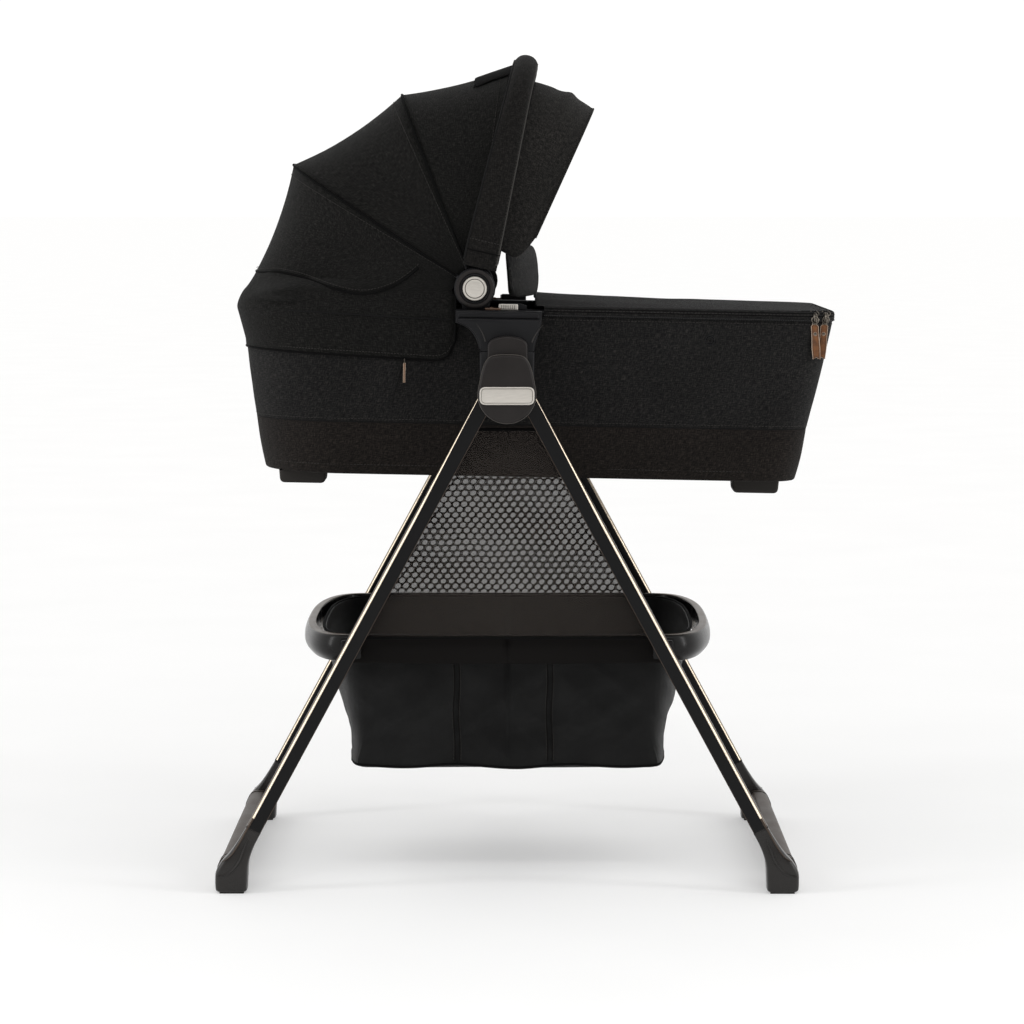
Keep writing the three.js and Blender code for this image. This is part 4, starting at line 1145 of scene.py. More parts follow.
# ---- The bassinet: tub ----
def tub_plan(z, out=0.0):
    """(head end, foot end, half width, corner) of the tub at a height, moved outwards."""
    low, seam, brim = (TUB_PLANS[key] for key in (TUB_BOTTOM, TUB_SEAM, TUB_BRIM))
    if z < TUB_SEAM:
        t = (z - TUB_BOTTOM) / (TUB_SEAM - TUB_BOTTOM)
        a, b = low, seam
    else:
        t = min(1.0, (z - TUB_SEAM) / (TUB_BRIM - TUB_SEAM))
        a, b = seam, brim
    head, foot, half = (p + (q - p) * t for p, q in zip(a, b))
    return head - out, foot + out, half + out, TUB_CORNER + out


def plan_path(plan, z, start=None, lengthwise=44, crosswise=10, corner_steps=12):
    """Level points round a plan, from the middle of its head end. With start, they run from there
    on the near side to the far side: round the head end if start is behind the mounts' middle, and
    round the foot end if it isn't."""
    head, foot, half, corner = plan
    toe = corner - TUB_CORNER + TOE_CORNER

    def straight(a, b, count):
        return [(a + (b - a) * t, -half) for t in evenly(count)]

    def across(x, reach):
        return [(x, reach * (2 * t - 1)) for t in evenly(crosswise)]

    def mirrored(points):
        return [(x, -y) for x, y in reversed(points)]

    foot_turn = [(foot - toe + x, toe - half + y) for x, y in arc(0, 0, toe, -90, 0, corner_steps)]
    foot_side = across(foot, half - toe)
    head_turn = [(head + corner - x, corner - half + y)
                 for x, y in arc(0, 0, corner, 0, -90, corner_steps)]
    head_side = across(head, half - corner)
    if start is None:
        near_side = [(head + corner + (foot - head - corner - toe) * t, -half)
                     for t in evenly(lengthwise)]
        near = head_turn + near_side[1:-1] + foot_turn
        loop = head_side[crosswise // 2:0:-1] + near + foot_side[1:-1]
        loop += mirrored(near) + head_side[crosswise // 2:-1][::-1]
    elif start > MOUNT_MIDDLE:
        half_loop = straight(start, foot - toe, lengthwise)[:-1] + foot_turn
        loop = half_loop + foot_side[1:-1] + mirrored(half_loop)
    else:
        half_loop = straight(start, head + corner, lengthwise // 2)[:-1] + head_turn[::-1]
        loop = half_loop + head_side[1:-1] + mirrored(half_loop)
    return [Vector((x, y, z)) for x, y in loop]


def soft(p, size=0.0008, scale=14.0):
    """A small unevenness of stretched cloth."""
    return size * noise.noise(p * scale) + 0.4 * size * noise.noise(p * scale * 3)


def tub_ring(z, out, fullness=0.0, start=None):
    path = plan_path(tub_plan(z), z, start)
    count = len(path)
    ring = []
    for i, p in enumerate(path):
        after = path[(i + 1) % count] if start is None else path[min(i + 1, count - 1)]
        before = path[i - 1] if start is None or i else path[0]
        along = (after - before).normalized()
        outward = Vector((along.y, -along.x, 0))
        if start is not None and start < MOUNT_MIDDLE:
            outward = -outward
        move = out + fullness + soft(p, 0.0009 if fullness else 0.0)
        ring.append(lean(*(p + outward * move)))
    return ring


def make_tub():
    shape = Shape()
    band_rows = [(0.5788, -0.0040), (0.5792, -0.0020), (0.5804, -0.0005), (0.5830, 0.0)]
    band_rows += [(0.5830 + 0.0695 * t, 0.0014 * hump(t)) for t in evenly(8)[1:]]
    upper = [(TUB_SEAM + 0.0012 + (0.8065 - TUB_SEAM - 0.0012) * t, 0.0018 * hump(t))
             for t in evenly(20)]
    rows = [(z, out, 0) for z, out in band_rows] + [(TUB_SEAM, -0.0014, 0)]
    rows += [(z, out, 1) for z, out in upper] + [(0.8092, -0.0006, 1), (0.8108, -0.0028, 1)]
    rows += [(0.8108, -0.0062, 2), (0.8070, -0.0086, 2), (0.7600, -0.0090, 2), (0.6600, -0.0090, 2),
             (0.5990, -0.0090, 2), (0.5955, -0.0120, 2)]
    rings = [tub_ring(z, out, 0.0001 if 0.59 < z < 0.806 else 0.0) for z, out, _ in rows]
    shape.grid(rings, lambda i, j: rows[i][2], closed=True)
    centre = lean(0.035, 0, TUB_BOTTOM)
    under = [rings[0]] + [[p.lerp(centre, t) for p in rings[0]] for t in (0.05, 0.4, 0.8)]
    shape.grid(under, 3, closed=True).cap(under[-1], 3)

    seam = tub_ring(TUB_SEAM, -0.0004)
    shape.tube(seam, 0.0009, 4, closed=True)
    for z, out in ((TUB_SEAM + 0.0042, 0.0006), (0.8035, 0.0008)):
        line = tub_ring(z, out)
        shape.stitches(line + line[:1], 5, pitch=0.0048)
    hem = tub_ring(0.5925, 0.0004)
    shape.stitches(hem + hem[:1], 5, pitch=0.0048)

    tree = shape.tree()
    for side in SIDES.values():
        slit = [on_surface(tree, 0.0935 + 0.0330 * t, 0.7432 - 0.0010 * t, side, 0.0)
                for t in evenly(8)]
        shape.tube(slit, lambda t: 0.0011 * math.sin(math.pi * (0.1 + 0.8 * t)), 4)
        for radius, thick in ((0.0066, 0.0007), (0.0040, 0.0005)):
            snap = [on_surface(tree, 0.2840 + x, 0.7790 + z, side, 0.0001)
                    for x, z in disc(0, 0, radius)]
            shape.tube(snap, thick, 6, closed=True)
        # A dark tapered line down a crease near the head end: painted shade.
        crease = curve([on_surface(tree, x, z, side, 0.0001) for x, z in (
            (-0.1480, 0.7460), (-0.1530, 0.7200), (-0.1600, 0.6940), (-0.1650, 0.6700))], 6)
        shape.tube(crease, lambda t: 0.0016 * (1.05 - t), 4)
    placed("tub", shape, [BAND_CLOTH, TUB_CLOTH, LINING, PIPING, DARK_SEAM_AND_SHADE, THREAD, BLACK_PLASTIC],
           "bassinet", ["tub_shell"])

    for end, x in (("head", -0.291), ("foot", 0.358)):
        for name, side in SIDES.items():
            foot = Shape()
            top, bottom = TUB_BOTTOM - 0.0003, TUB_BOTTOM - (0.0222 if end == "head" else 0.0245)
            outline = rounded([(x - 0.0342, top, 0.0005), (x - 0.0322, bottom, 0.007),
                               (x + 0.0322, bottom, 0.007), (x + 0.0342, top, 0.0005)])
            foot.plate(outline, (0.096, 0.148), lambda a, depth, z: lean(a, side * depth, z),
                       0.004, 0, 5)
            placed(f"rest_{end}_{name}", foot, [RUBBER], "bassinet",
                   [f"tub_foot_{end}_{name}"])


def make_mattress():
    """A quilted pad: crowned, with channels sewn across it."""
    shape = Shape()
    top, low = 0.6335, 0.6004

    def ring(z, out):
        return leaned(plan_path(tub_plan(z, out), z))

    rows = [ring(low, -0.020), ring(low + 0.002, -0.0150), ring(low + 0.010, -0.0135),
            ring(top - 0.012, -0.0135), ring(top - 0.004, -0.0155), ring(top - 0.001, -0.021)]
    shape.grid(rows, closed=True).cap(rows[0])
    centre_line = plan_path(tub_plan(top, -0.021), top)
    inner = []
    for t in evenly(18)[1:]:
        row = []
        for p in centre_line:
            spine = Vector((min(max(p.x, -0.20), 0.27), 0, top))
            q = p.lerp(spine, t)
            quilt = 0.0022 * abs(math.sin(math.pi * (q.x + q.y) / 0.052))
            quilt *= abs(math.sin(math.pi * (q.x - q.y) / 0.052))
            row.append(lean(q.x, q.y, top - 0.001 + 0.003 * math.sin(math.pi * t / 2) + quilt))
        inner.append(row)
    shape.grid([rows[-1]] + inner, closed=True)
    seam = rows[3]
    shape.tube(seam, 0.0016, 1, closed=True)
    pad = placed("mattress_pad", shape, [QUILT, PIPING], "bassinet", ["mattress"])


# ---- The bassinet: side mounts ----
def level_place(side):
    return lambda x, depth, z: lean(x, side * depth, z)


def make_mount(side_name):
    side = SIDES[side_name]
    place = level_place(side)
    shape = Shape()
    left, right = -0.074, 0.0465
    tee = [(left, 0.8160), (left, 0.7985)]
    tee += curve([(-0.0620, 0.7945), (-0.0530, 0.7880), (-0.0455, 0.7770),
                                     (-0.0410, 0.7660), (-0.0402, 0.7602)], 4)
    tee += curve([(0.0372, 0.7602), (0.0382, 0.7700), (0.0425, 0.7850),
                                     (0.0450, 0.7950)], 4)
    tee += [(right, 0.8000), (right, 0.8160)]
    shape.plate(tee, (0.2172, 0.2630), place, edge=0.0035, steps=5)
    neck = [(-0.0385, 0.7590)]
    neck += curve([(-0.0388, 0.7680), (-0.0425, 0.7790), (-0.0495, 0.7885),
                                      (-0.0590, 0.7955), (-0.0695, 0.8005)], 3)
    neck += [(-0.0705, 0.8050), (0.0435, 0.8050)]
    neck += curve([(0.0428, 0.7970), (0.0408, 0.7860), (0.0372, 0.7720),
                                      (0.0366, 0.7590)], 3)
    shape.plate(neck, (0.2600, 0.2724), place, edge=0.0022, steps=5)
    ledge = box_outline(left + 0.004, 0.8060, right - 0.004, 0.8125, 0.002)
    shape.plate(ledge, (0.2600, 0.2640), place, edge=0.0012)
    tongue = box_outline(-0.031, 0.698, 0.031, 0.765, 0.006, 0.001)
    shape.plate(tongue, (0.249, 0.263), place, edge=0.0012)
    # Thin lighter ribs where the tee flares into the neck: painted highlights.
    for x, bow in ((-0.0315, 1.0), (0.0330, -1.2)):
        rib = curve([(x - bow * 0.0130, 0.7985), (x - bow * 0.0065, 0.7890),
                     (x - bow * 0.0022, 0.7800), (x, 0.7735)], 6)
        shape.tube(put(place, 0.2723, rib), lambda t: 0.0002 + 0.0010 * t, 1, sides=8)
    ear = [(-0.0655, 0.8130), (-0.0265, 0.8130), (-0.0262, PIVOT_Z)]
    ear += arc(PIVOT_X, PIVOT_Z, 0.0218, 4, 150, 14)
    ear += [(-0.0658, PIVOT_Z + 0.002)]
    shape.plate(ear, (0.2192, 0.2270), place, edge=0.0012)
    step = box_outline(-0.0655, 0.8125, -0.0265, 0.8158, 0.001)
    shape.plate(step, (0.2195, 0.2360), place, edge=0.0008)
    pin = disc(PIVOT_X, PIVOT_Z, 0.0049)
    shape.plate(pin, (0.2260, 0.2365), place, edge=0.0005)
    tab = rounded([(-0.0120, 0.8165, 0.001), (0.0250, 0.8165, 0.001), (0.0250, 0.8235, 0.0015),
                   (0.0140, 0.8260, 0.002), (-0.0120, 0.8260, 0.0015)])
    shape.plate(tab, (0.2200, 0.2242), place, edge=0.0008)
    rod = [place(x, 0.2385, 0.8178) for x in (-0.0330, -0.0110)]
    shape.tube(rod, 0.0017, 2, sides=12)
    shape.tube([place(x, 0.2385, 0.8178) for x in (-0.0262, -0.0218)], 0.0025, 2, sides=12)
    placed(f"mount_{side_name}", shape, [BLACK_PLASTIC, MOUNT_RIB_HIGHLIGHT, BROWN_ROD], "bassinet",
           [f"side_mount_{side_name}"])

    slide = Shape()
    outline = box_outline(-0.0145, 0.8166, 0.0130, 0.8250, 0.0015, 0.002)
    slide.plate(outline, (0.2250, 0.2352), place, edge=0.0012)
    for i in range(7):
        x = -0.0100 + 0.0030 * i
        slide.tube([place(x, 0.2353, z) for z in (0.8180, 0.8236)], 0.0005, 1)
    placed(f"slide_{side_name}", slide, [SILVER, SILVER_DARK], f"release_slide_{side_name}",
           [f"release_slide_{side_name}"])


# ---- The bassinet: boot cover and its flap ----
COVER_START = 0.038
COVER_BAND_START = 0.0500


def cover_rise(x):
    """The cover's top rises towards its flap."""
    return 0.0098 * math.exp(-max(0.0, x - 0.030) / 0.140)


def make_boot_cover():
    shape = Shape()
    band = [(0.8100, 0.0012), (0.8110, 0.0022), (0.8140, 0.0024), (0.8150, 0.0014),
            (0.8160, 0.0024), (0.8182, 0.0022), (0.8190, 0.0012), (0.8198, 0.0020),
            (0.8214, 0.0008), (0.8226, -0.0016)]

    def along(z, out):
        return tub_ring(z, out, 0.0, COVER_BAND_START)

    rows = [along(z, out) for z, out in band]
    inner = [along(0.8214, -0.0034), along(0.8106, -0.0016)]
    shape.grid(rows, 0)
    shape.grid([rows[0], inner[1], inner[0]], 1)

    edge = plan_path(tub_plan(TUB_BRIM, -0.0016), 0.8226, COVER_START)
    spine_end = edge[len(edge) // 2].x - 0.205
    top = []
    for t in evenly(22):
        row = []
        for p in edge:
            spine = Vector((min(p.x, spine_end), 0, p.z))
            q = p.lerp(spine, t)
            swell = 0.0018 * (1 - (1 - t) ** 3) + cover_rise(q.x) * min(1.0, t * 6)
            wave = soft(q, 0.0012, 9.0) * min(1.0, t * 5)
            row.append(lean(q.x, q.y, q.z + swell + wave))
        top.append(row)
    shape.grid(top, 0)
    under = [[p + Vector((0, 0, -0.0022)) for p in row] for row in top[1:]]
    shape.grid([top[0]] + under, 1)
    front = [row[0] for row in reversed(top)]
    other = [row[-1] for row in top]
    lip = front[::-1] + other[::-1][1:]
    shape.tube(lip, 0.0016, 2, sides=8)
    for z, out in ((0.8150, 0.0016), (0.8190, 0.0014)):
        shape.tube(along(z, out), 0.0009, 2)
    shape.stitches(along(0.8170, 0.0026), 3, pitch=0.0048)
    shape.tube(along(0.8090, 0.0010), 0.0014, 4, flat=1.4)
    shape.stitches(along(0.8092, 0.0024), 5, pitch=0.0026, radius=0.0008)
    cover = placed("boot_cover_cloth", shape,
                   [TUB_CLOTH, LINING, PIPING, THREAD, ZIP_TAPE, ZIP_TEETH],
                   "boot_cover", ["boot_cover"])


def make_flap():
    """A padded lip across the tub, bowed towards the foot end, crowned on both faces."""
    shape = Shape()
    bow, half_width, middle_x = 0.030, 0.192, 0.0325
    rings = []
    for t in evenly(44):
        y = half_width * (2 * t - 1)
        end = min(1.0, (1 - abs(2 * t - 1)) / 0.17)
        close = math.sqrt(max(0.0, 1 - (1 - end) ** 2))
        x = middle_x - bow * (y / half_width) ** 2
        half_thick = 0.0016 + 0.0090 * close
        half_high = 0.0225 + 0.0135 * close ** 0.5
        ring = []
        for a, b in squircle(0, half_thick, 0, half_high, 0.62, 32):
            z = 0.8685 + b + 0.0012 * rough(y * 20, b * 30, 3)
            lean_back = -0.0065 * ((b + half_high) / (2 * half_high)) ** 2
            crown = 0.0012 * rough(y * 26, b * 40, a * 90)
            ring.append(lean(x + a + lean_back + crown, y, z))
        rings.append(ring)
    shape.solid(rings)
    shape.tube([ring[23] for ring in rings[1:-1]], 0.0010, 1)
    shape.stitches([ring[21] for ring in rings[4:-4]], 2, pitch=0.0046)
    flap = placed("flap", shape, [FLAP_CLOTH_PAINTED_LIT, PIPING, THREAD], "cover_flap",
                  ["cover_flap"])


# ---- Zip sliders and leather pulls ----
def make_pull(name, node, body, x, depth, top, length, swing=0.0, turned=False, slider=None):
    """A leather tab on a wire link. swing moves its tip along X, and turned sets it edge out.
    slider is the (name, node, body) of the zip slider that it hangs from."""
    def place(a, d, z):
        a += swing * (top - z) / length
        if turned:
            return lean(x + d - depth, -depth - (a - x) - 0.005, z)
        return lean(a, -d, z)

    tab = Shape()
    half = [(0.0030, 0.0), (0.0050, 0.045), (0.0049, 0.36), (0.0056, 0.68), (0.0049, 1.0)]
    outline = [(x + a, top - t * length) for a, t in half] + [(x, top - 0.945 * length)]
    outline += [(x - a, top - t * length) for a, t in reversed(half)]
    tab.plate(outline, (depth, depth + 0.0026), place, edge=0.0006)
    seam = put(place, depth + 0.00265, inset(outline, 0.0012))
    tab.stitches(seam, 3, pitch=0.0024, radius=0.00025)
    for d in (depth + 0.0002, depth + 0.0024):
        tab.tube(put(place, d, outline), 0.00045, 1, closed=True)
    rivet = arc(x, top - 0.27 * length, 0.0019, 0, 330, 11)
    tab.plate(rivet, (depth + 0.0024, depth + 0.0037), place, 0.0005, 2)
    eyelet = arc(x, top - 0.27 * length, 0.0026, 0, 330, 11)
    tab.tube(put(place, depth + 0.0028, eyelet), 0.0003, 1, closed=True)
    link = rounded([(x - 0.0032, top - 0.004, 0.002), (x + 0.0032, top - 0.004, 0.002),
                    (x + 0.0028, top + 0.0060, 0.0025), (x - 0.0028, top + 0.0060, 0.0025)])
    tab.tube(put(place, depth + 0.0013, link), 0.0008, 2, sides=8, closed=True)
    placed(name, tab, [PULL_LEATHER, PULL_EDGE, GUNMETAL, THREAD], body, [node])
    if slider:
        metal = Shape()
        base = top + 0.0035
        shield = [tuple(p) for p in curve([
            (x - 0.0030, base), (x + 0.0030, base), (x + 0.0052, base + 0.0050),
            (x + 0.0040, base + 0.0120), (x, base + 0.0140), (x - 0.0040, base + 0.0120),
            (x - 0.0052, base + 0.0050)], 4, closed=True)]
        metal.plate(shield, (depth + 0.0005, depth + 0.0030), place, 0.0009)
        bridge = curve([place(x, depth + d, base + z) for d, z in (
            (0.0025, 0.0000), (0.0062, 0.0020), (0.0066, 0.0085), (0.0025, 0.0120))], 4)
        metal.tube(bridge, 0.0012, 0, sides=8)
        for turn, size in ((0.0, 0.0046), (1.1, 0.0036)):
            ring = [place(x + size * math.cos(a) * math.cos(turn) + 0.0008,
                          depth + 0.0052 + size * math.cos(a) * math.sin(turn),
                          base + 0.0030 + size * math.sin(a))
                    for a in around(16)]
            metal.tube(ring, 0.0009, 0, sides=8, closed=True)
        for side in (-1, 1):
            curl = [place(x + side * (0.0052 + 0.0016 * math.cos(9 * t)), depth + 0.0022,
                          base + 0.0030 + 0.0130 * t) for t in evenly(14)]
            metal.tube(curl, 0.0008, 0)
        placed(slider[0], metal, [GUNMETAL], slider[2], [slider[1]])


def make_rim():
    """The frame that runs round inside the tub's brim."""
    shape = Shape()
    shape.tube(tub_ring(0.8130, -0.0080), 0.0046, 0, sides=12, closed=True)
    placed("rim_bar", shape, [BLACK_PLASTIC], "bassinet", ["rim_frame"])


make_tub()
make_mattress()
carry("base_board", BOARD)
make_rim()
for side_name in SIDES:
    make_mount(side_name)
make_boot_cover()
make_flap()
PULL_TOP, PULL_LENGTH = 0.8035, 0.0485
for which, x, depth, swing in (("left", 0.4310, 0.2070, 0.0040),
                               ("right", 0.4455, 0.1985, -0.0030)):
    pull = f"zip_pull_{which}"
    make_pull(f"pull_{which}", pull, pull, x, depth, PULL_TOP, PULL_LENGTH, swing,
              slider=(f"slider_{which}", f"zip_slider_{which}", "boot_cover"))
make_pull("pull_side", "side_zip_pull", "side_zip_pull", -0.1465, 0.2175, 0.7390, 0.0270,
          turned=True)


# ---- The canopy ----
def hoop_line(reach, half_width, start, steps=120):
    """(distance from the pivot axis, y) along a hoop, from one side to the other."""
    first = math.asin((start / reach) ** (CANOPY_ROUNDNESS / 2))
    power = 2 / CANOPY_ROUNDNESS
    out = []
    for t in evenly(steps):
        turn = first + (math.pi - 2 * first) * t
        across = math.cos(turn)
        out.append((reach * math.sin(turn) ** power,
                    -half_width * math.copysign(abs(across) ** power, across)))
    return out


def round_pivot(out, y, degrees):
    """A level point at a distance and direction from the canopy's pivot axis."""
    angle = math.radians(degrees)
    return Vector((PIVOT_X + out * math.cos(angle), y, PIVOT_Z + out * math.sin(angle)))


def off_pivot(point, across=0.0):
    """The direction from the canopy's pivot axis to a level point, with a share of its y."""
    return Vector((point.x - PIVOT_X, point.y * across, point.z - PIVOT_Z)).normalized()


def direction(point):
    """The direction in degrees of a row-frame point from the pivot axis, in the level bassinet."""
    offset = point - CANOPY_AXIS
    angle = math.degrees(math.atan2(offset.z, offset.x) + TILT)
    return angle + 360 if angle < -45 else angle


PANEL_START = 0.029
COLUMNS = 96


def hoop_points(hoop, extra=0.0, start=PANEL_START, half_width=CANOPY_HALF_WIDTH, columns=COLUMNS,
                shift=0.0):
    """Evenly spaced level points along a hoop."""
    angle, reach = hoop
    line = hoop_line(reach + extra, half_width + extra, start)
    return resample([round_pivot(out, y, angle + shift) for out, y in line], evenly(columns))


def panel_rows(first, second, sag, rows=12):
    """Level rows from one hoop to another, with the cloth dipping between them."""
    a, b = hoop_points(first), hoop_points(second)
    out = []
    for t in evenly(rows):
        row = []
        for j, (p, q) in enumerate(zip(a, b)):
            m = p.lerp(q, t)
            crown = math.sin(math.pi * j / COLUMNS)
            outward = off_pivot(m)
            dip = sag * 4 * t * (1 - t) * crown ** 2
            side_dip = 0.0030 * hump(t) * (1 - crown) * math.copysign(1, -m.y)
            pull = 0.0012 * hump(t) * rough(m.x * 14, m.y * 10, m.z * 14)
            row.append(m - outward * (dip - pull) + Vector((0, side_dip, 0)))
        out.append(row)
    return out


def seam_tube(shape, hoop, finish, radius=0.0016, lift=0.0006, shift=0.0):
    line = leaned(hoop_points(hoop, lift, shift=shift))
    shape.tube(line, radius, finish, sides=8)


def stitched(shape, rows, index, finish, lift=0.0007):
    """A row of stitches along one of a panel's rows, lifted off it."""
    line = [lean(*(p + off_pivot(p, 0.6) * lift)) for p in rows[index]]
    shape.stitches(line, finish, pitch=0.0046)


def area_of(rows):
    total = 0.0
    for a, b in zip(rows, rows[1:]):
        for j in range(len(a) - 1):
            total += ((a[j + 1] - a[j]).cross(b[j] - a[j])).length / 2
            total += ((b[j] - b[j + 1]).cross(a[j + 1] - b[j + 1])).length / 2
    return total


def as_sheet(rows):
    """Works out a flat size for a stretched panel from the rows that it was made from; nothing uses
    it.
    """
    width = max(lengths(row)[-1] for row in rows)
    height = max(lengths([row[j] for row in rows])[-1] for j in range(0, len(rows[0]), 8))
    min(max(area_of(rows), 0.31 * width * height), width * height)


def make_panel(name, first, second, sag, bodies, nodes):
    """One panel of the canopy between two hoops, with piping and stitches along its first hoop."""
    rows = panel_rows(first, second, sag)
    shape = Shape()
    lip = []
    if first == FRONT:
        lip = [hoop_points((FRONT[0] - back, FRONT[1] + 0.3 * out), out) for back, out in
               ((3.8, 0.0060), (2.4, 0.0052), (1.0, 0.0030))]
    shape.grid([leaned(row) for row in lip + rows], 0)
    panel = make(name, shape, [CANOPY_CLOTH], nodes, thickness=CLOTH)
    towards_first, towards_second = bodies

    def share(p):
        return (second[0] - direction(p)) / (second[0] - first[0])

    weigh(panel, towards_second, towards_first, share)
    as_sheet(lip + rows)

    trim = Shape()
    stitched(trim, rows, 1, 1)
    seam_tube(trim, first, 0)
    edge = make(f"{name}_seam", trim, [PIPING, THREAD])
    weigh(edge, towards_second, towards_first, share)


def skirt_rows(tail_row):
    """Level rows from the rear panel's lower edge over the shoulder and down to the hem."""
    tiers = [  # height, and how far out of the tub
        (0.8420, -0.0060), (0.8330, 0.0000), (0.8220, 0.0042), (0.8110, 0.0060), (0.8010, 0.0046),
        (0.7880, 0.0038), (0.7720, 0.0040), (0.7580, 0.0044), (0.7500, 0.0046), (SKIRT_HEM, 0.0042),
    ]
    tiers_out = []
    for z, out in tiers:
        path = plan_path(tub_plan(z, out), z, SKIRT_FRONT if z < 0.835 else SKIRT_FRONT - 0.006)
        loose = 0.0045 * max(0.0, math.sin(math.pi * (0.845 - z) / 0.085))
        for p in path:  # the skirt stands off the tub's head end
            p.x -= loose * clamp((-0.25 - p.x) / 0.12)
        if z > 0.825:
            for p in path:
                near = clamp((abs(p.y) - 0.150) / 0.045) ** 2
                p.y += math.copysign(near * (0.2195 - abs(p.y)), p.y)
        tiers_out.append(resample(path, evenly(COLUMNS)))
    rows = [tail_row] + tiers_out
    smooth = [curve(column, 3) for column in zip(*rows)]
    return [list(row) for row in zip(*smooth)]


def make_rear():
    """The rear panel and the skirt are one cloth, from the rear hoop to the hem."""
    upper = panel_rows(REAR, TAIL, 0.007)
    lower = skirt_rows(upper[-1])
    corner = 0.030
    rows = upper + lower[1:]
    for row in rows[len(upper):]:
        for j, p in enumerate(row):
            edge = SKIRT_FRONT - corner
            if p.x > edge:
                drop = SKIRT_HEM + corner - math.sqrt(max(0.0, corner ** 2 - (p.x - edge) ** 2))
                if p.z < drop:
                    row[j] = Vector((p.x, p.y, drop))
            low = clamp((0.800 - p.z) / 0.055)
            slope = clamp((-0.070 - p.x) / 0.310)
            row[j] = row[j] + Vector((0, 0, low * (0.0125 * slope - 0.0030)))
            if abs(p.y) < CANOPY_HALF_WIDTH + 0.02:
                ripple = 0.0012 * rough(p.x * 16, p.y * 16, p.z * 9)
                row[j] = row[j] + Vector((p.x, p.y * 1.5, 0)).normalized() * ripple
    shape = Shape()
    shape.grid([leaned(row) for row in rows], 0)
    tree = shape.tree()
    cloth = make("canopy_rear", shape, [CANOPY_CLOTH],
                 ["rear_panel", "canopy_skirt"], thickness=CLOTH)
    span = TAIL[0] - REAR[0]
    lift = lambda p: (TAIL[0] - direction(p)) / span if p.z > 0.82 else 0.0
    weigh(cloth, "bassinet", "rear_hoop", lift)
    as_sheet(rows)

    trim = Shape()
    seam_tube(trim, REAR, 0)
    stitched(trim, rows, 1, 1)
    hem = leaned(rows[-1])
    front = [[lean(*row[k]) for row in rows[len(upper) + 4:]] for k in (0, -1)]
    outline = front[0] + hem[1:-1] + front[1][::-1]
    trim.tube(outline, 0.0016, 0, sides=8)
    above = [lean(*(p + Vector((0, 0, 0.0062)))) for p in rows[-1]]
    trim.stitches([p + Vector((0, math.copysign(0.0012, p.y), 0)) for p in above], 1)
    tail = leaned(upper[-1])
    middle = [p for p in tail if abs(p.y) < 0.128]
    sides = [curve([on_surface(tree, x, z, side, 0.0008) for x, z in (
        (-0.1280, 0.8730), (-0.1440, 0.8590), (-0.1603, 0.8483), (-0.1882, 0.8375),
        (-0.2162, 0.8355), (-0.2514, 0.8430), (-0.2937, 0.8560), (-0.3300, 0.8625))], 6)
        for side in (-1, 1)]
    lap = sides[0] + middle + sides[1][::-1]
    lap = resample(curve(resample(lap, evenly(60)), 2), evenly(150))
    trim.tube(lap, 0.0017, 0, sides=8)
    over = []
    for p in lap:
        back = p - lean(-0.05, 0, 0.80)
        over.append(p + Vector((0, 0, 0.0052)) - back.normalized() * 0.0006)
    trim.stitches(over, 1, pitch=0.0046)
    for side in SIDES.values():
        band = curve([on_surface(tree, x, z, side, 0.0003) for x, z in (
            (-0.3600, 0.8120), (-0.2930, 0.8094), (-0.1800, 0.8045), (-0.0800, 0.8010))], 6)
        trim.tube(band, 0.0009, 2)
    edge = make("canopy_rear_trim", trim, [PIPING, THREAD, DARK_SEAM_AND_SHADE])
    weigh(edge, "bassinet", "rear_hoop", lift)


def visor_edge(out):
    return VISOR_EDGE_ANGLE - math.degrees(math.asin(min(1.0, VISOR_EDGE_OFFSET / out)))


def make_visor():
    """A fan of cloth from under the handle to a straight front edge on a wire."""
    rows = []
    for t in evenly(22):
        row = []
        start = 0.060 + 0.010 * t + 0.040 * t ** 7
        for out, y in hoop_line(VISOR_REACH, VISOR_HALF_WIDTH, start, 160):
            angle = VISOR_BACK + (visor_edge(out) - VISOR_BACK) * t
            top = max(0.0, (out / VISOR_REACH - 0.86) / 0.14)
            lift = 0.0040 * math.exp(-((angle - 64.6) / 1.5) ** 2)
            lift -= 0.0008 * math.exp(-((angle - 68.2) / 1.1) ** 2) - 0.0010 * hump(t)
            row.append(round_pivot(out + lift * top, y * (1 - 0.004 * hump(t)), angle))
        rows.append(resample(row, evenly(80)))
    shape = Shape()
    shape.grid([leaned(row) for row in rows], 0)
    visor = make("visor", shape, [VISOR_CLOTH_PAINTED_LIT], ["visor_panel"], thickness=CLOTH)

    def weight(p):
        offset = p - CANOPY_AXIS
        out = max(VISOR_EDGE_OFFSET, math.hypot(offset.x, offset.z))
        return (VISOR_BACK - direction(p)) / (VISOR_BACK - visor_edge(out))

    weigh(visor, "handle", "visor", weight)
    as_sheet(rows)
    hem = Shape()
    edge = leaned(rows[-1])
    hem.tube(edge, 0.0015, 0, sides=8)
    inside = leaned(rows[-2])
    hem.stitches([p.lerp(q, 0.45) for p, q in zip(edge, inside)], 1)
    placed("visor_hem", hem, [VISOR_CLOTH_PAINTED_LIT, THREAD], "visor", ["visor_wire"])


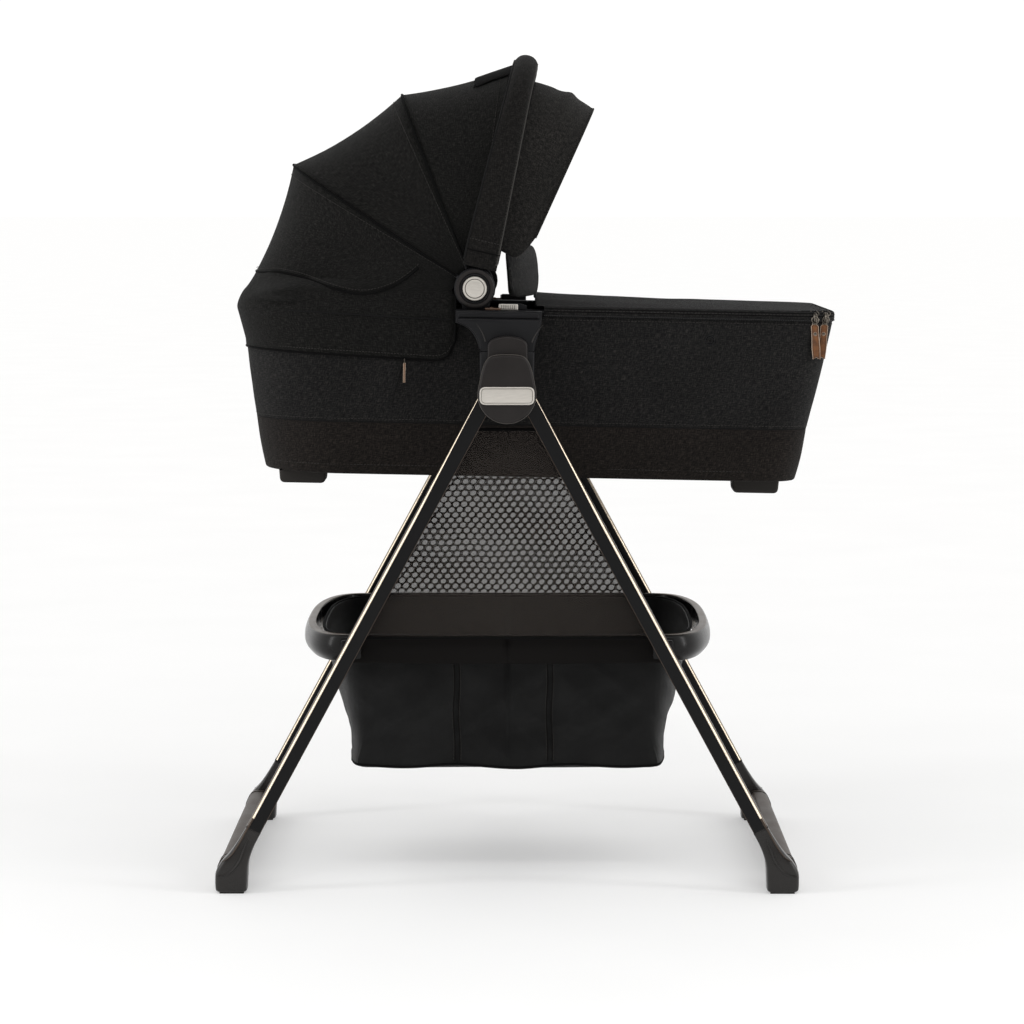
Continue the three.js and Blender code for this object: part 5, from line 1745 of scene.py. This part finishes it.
def make_handle():
    """The padded cloth sleeve round the handle, with its seam and a cuff at each end."""
    angle, reach = HANDLE
    line = hoop_line(reach, HANDLE_HALF_WIDTH, 0.0295, 200)
    line = resample([round_pivot(out, y, angle) for out, y in line], evenly(120))
    radial = Vector((math.cos(math.radians(angle)), 0, math.sin(math.radians(angle))))
    tangent = Vector((-radial.z, 0, radial.x))
    rings = []
    for i, p in enumerate(line):
        t = i / (len(line) - 1)
        swell = hump(t) ** 1.5
        along = (line[min(i + 1, len(line) - 1)] - line[max(i - 1, 0)]).normalized()
        normal = tangent.cross(along).normalized()
        rise = clamp((min(t, 1 - t) - 0.04) / 0.24)
        wide, thick = 0.0240 - 0.0065 * rise, 0.0060 + 0.0115 * swell
        ripple = 0.0005 * rough(p.x * 30, p.y * 30, p.z * 30)
        rings.append([
            lean(*(p + tangent * (a * (1 + ripple * 20)) + normal * b))
            for a, b in squircle(0, wide, 0, thick, 0.72 + 0.22 * swell, 36)
        ])
    shape = Shape()
    shape.solid(rings)
    # A lighter line down the sleeve's edge: its seam, with a painted highlight.
    shape.tube([ring[20] for ring in rings[1:-1]], 0.0008, 3)
    shape.stitches([ring[21] for ring in rings[1:-1]], 2, pitch=0.0046)
    # A dark line along the sleeve's other edge: painted shadow in the gap between the sleeve and
    # the canopy.
    shape.tube([ring[34] for ring in rings[1:-1]], 0.0020, 4)
    for at in (3, len(rings) - 4):
        shape.tube(rings[at], 0.0010, 1, closed=True)
        shape.stitches(rings[at + (2 if at < 20 else -2)], 2)
    placed("handle_sleeve", shape, [SLEEVE_CLOTH, PIPING, THREAD, SEAM_AND_HIGHLIGHT, DARK_SEAM_AND_SHADE], "handle",
           ["handle_hoop"])


def make_grip_flap():
    """A low padded strip across the canopy's top, just behind the handle."""
    shape = Shape()
    first, second = (hoop_points(hoop, start=0.24, columns=60) for hoop in (FRONT, MIDDLE))
    rows = []
    for t, lift in ((-0.02, 0.0000), (-0.02, 0.0030), (0.0, 0.0034), (0.16, 0.0010),
                    (0.31, -0.0012), (0.33, -0.0022), (0.33, -0.0060)):
        row = []
        for k, (p, q) in enumerate(zip(first, second)):
            ends = min(1.0, math.sin(math.pi * k / (len(first) - 1)) * 8)
            m = p.lerp(q, t)
            row.append(lean(*(m + off_pivot(m) * lift * ends)))
        rows.append([p for p in row if abs(p.y) < 0.135])
    shape.grid(rows)
    strip = make("grip_strip", shape, [PIPING], thickness=0.0012)
    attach(strip, "handle")


def ring_at_pivot(radius, depth, side, sides=48):
    return [lean(PIVOT_X + radius * math.cos(a), side * depth, PIVOT_Z + radius * math.sin(a))
            for a in around(sides)]


def make_pivot(side_name):
    side = SIDES[side_name]
    housing = Shape()
    profile = [
        (0.0010, 0.2343), (0.0280, 0.2343), (0.0286, 0.2350), (0.0286, 0.2376), (0.0276, 0.2384),
        (0.0271, 0.2384), (0.0270, 0.2425), (0.0264, 0.2436), (0.0250, 0.2441), (0.0222, 0.2443),
        (0.0216, 0.2436), (0.0213, 0.2420), (0.0206, 0.2420), (0.0202, 0.2434), (0.0192, 0.2437),
        (0.0181, 0.2426), (0.0179, 0.2390), (0.0010, 0.2388),
    ]
    housing.solid([ring_at_pivot(r, d, side) for r, d in profile],
                  lambda i, j: 1 if 5 < i < 10 else 0)
    placed(f"pivot_{side_name}", housing, [BLACK_PLASTIC, HUB_PLASTIC], "handle",
           [f"pivot_housing_{side_name}"])
    button = Shape()
    profile = [
        (0.0005, 0.2410), (0.0166, 0.2410), (0.0169, 0.2420), (0.0169, 0.2444), (0.0163, 0.2455),
        (0.0150, 0.2459), (0.0139, 0.2457), (0.0136, 0.2451), (0.0130, 0.2451), (0.0127, 0.2457),
        (0.0110, 0.2462), (0.0070, 0.2466), (0.0005, 0.2468),
    ]
    button.solid([ring_at_pivot(r, d, side) for r, d in profile],
                 lambda i, j: 1 if i in (6, 7, 8) else 0)
    placed(f"button_{side_name}", button, [SILVER, SILVER_DARK], f"pivot_button_{side_name}",
           [f"pivot_button_{side_name}"])


make_rear()
make_panel("canopy_middle", MIDDLE, REAR, 0.009, ("middle_hoop", "rear_hoop"), ["middle_panel"])
make_panel("canopy_front", FRONT, MIDDLE, 0.0055, ("handle", "middle_hoop"), ["front_panel"])
make_visor()
make_handle()
make_grip_flap()
for side_name in SIDES:
    make_pivot(side_name)
for node in ("middle_hoop", "rear_hoop"):
    carry(node, BLACK_PLASTIC, 0.0004)
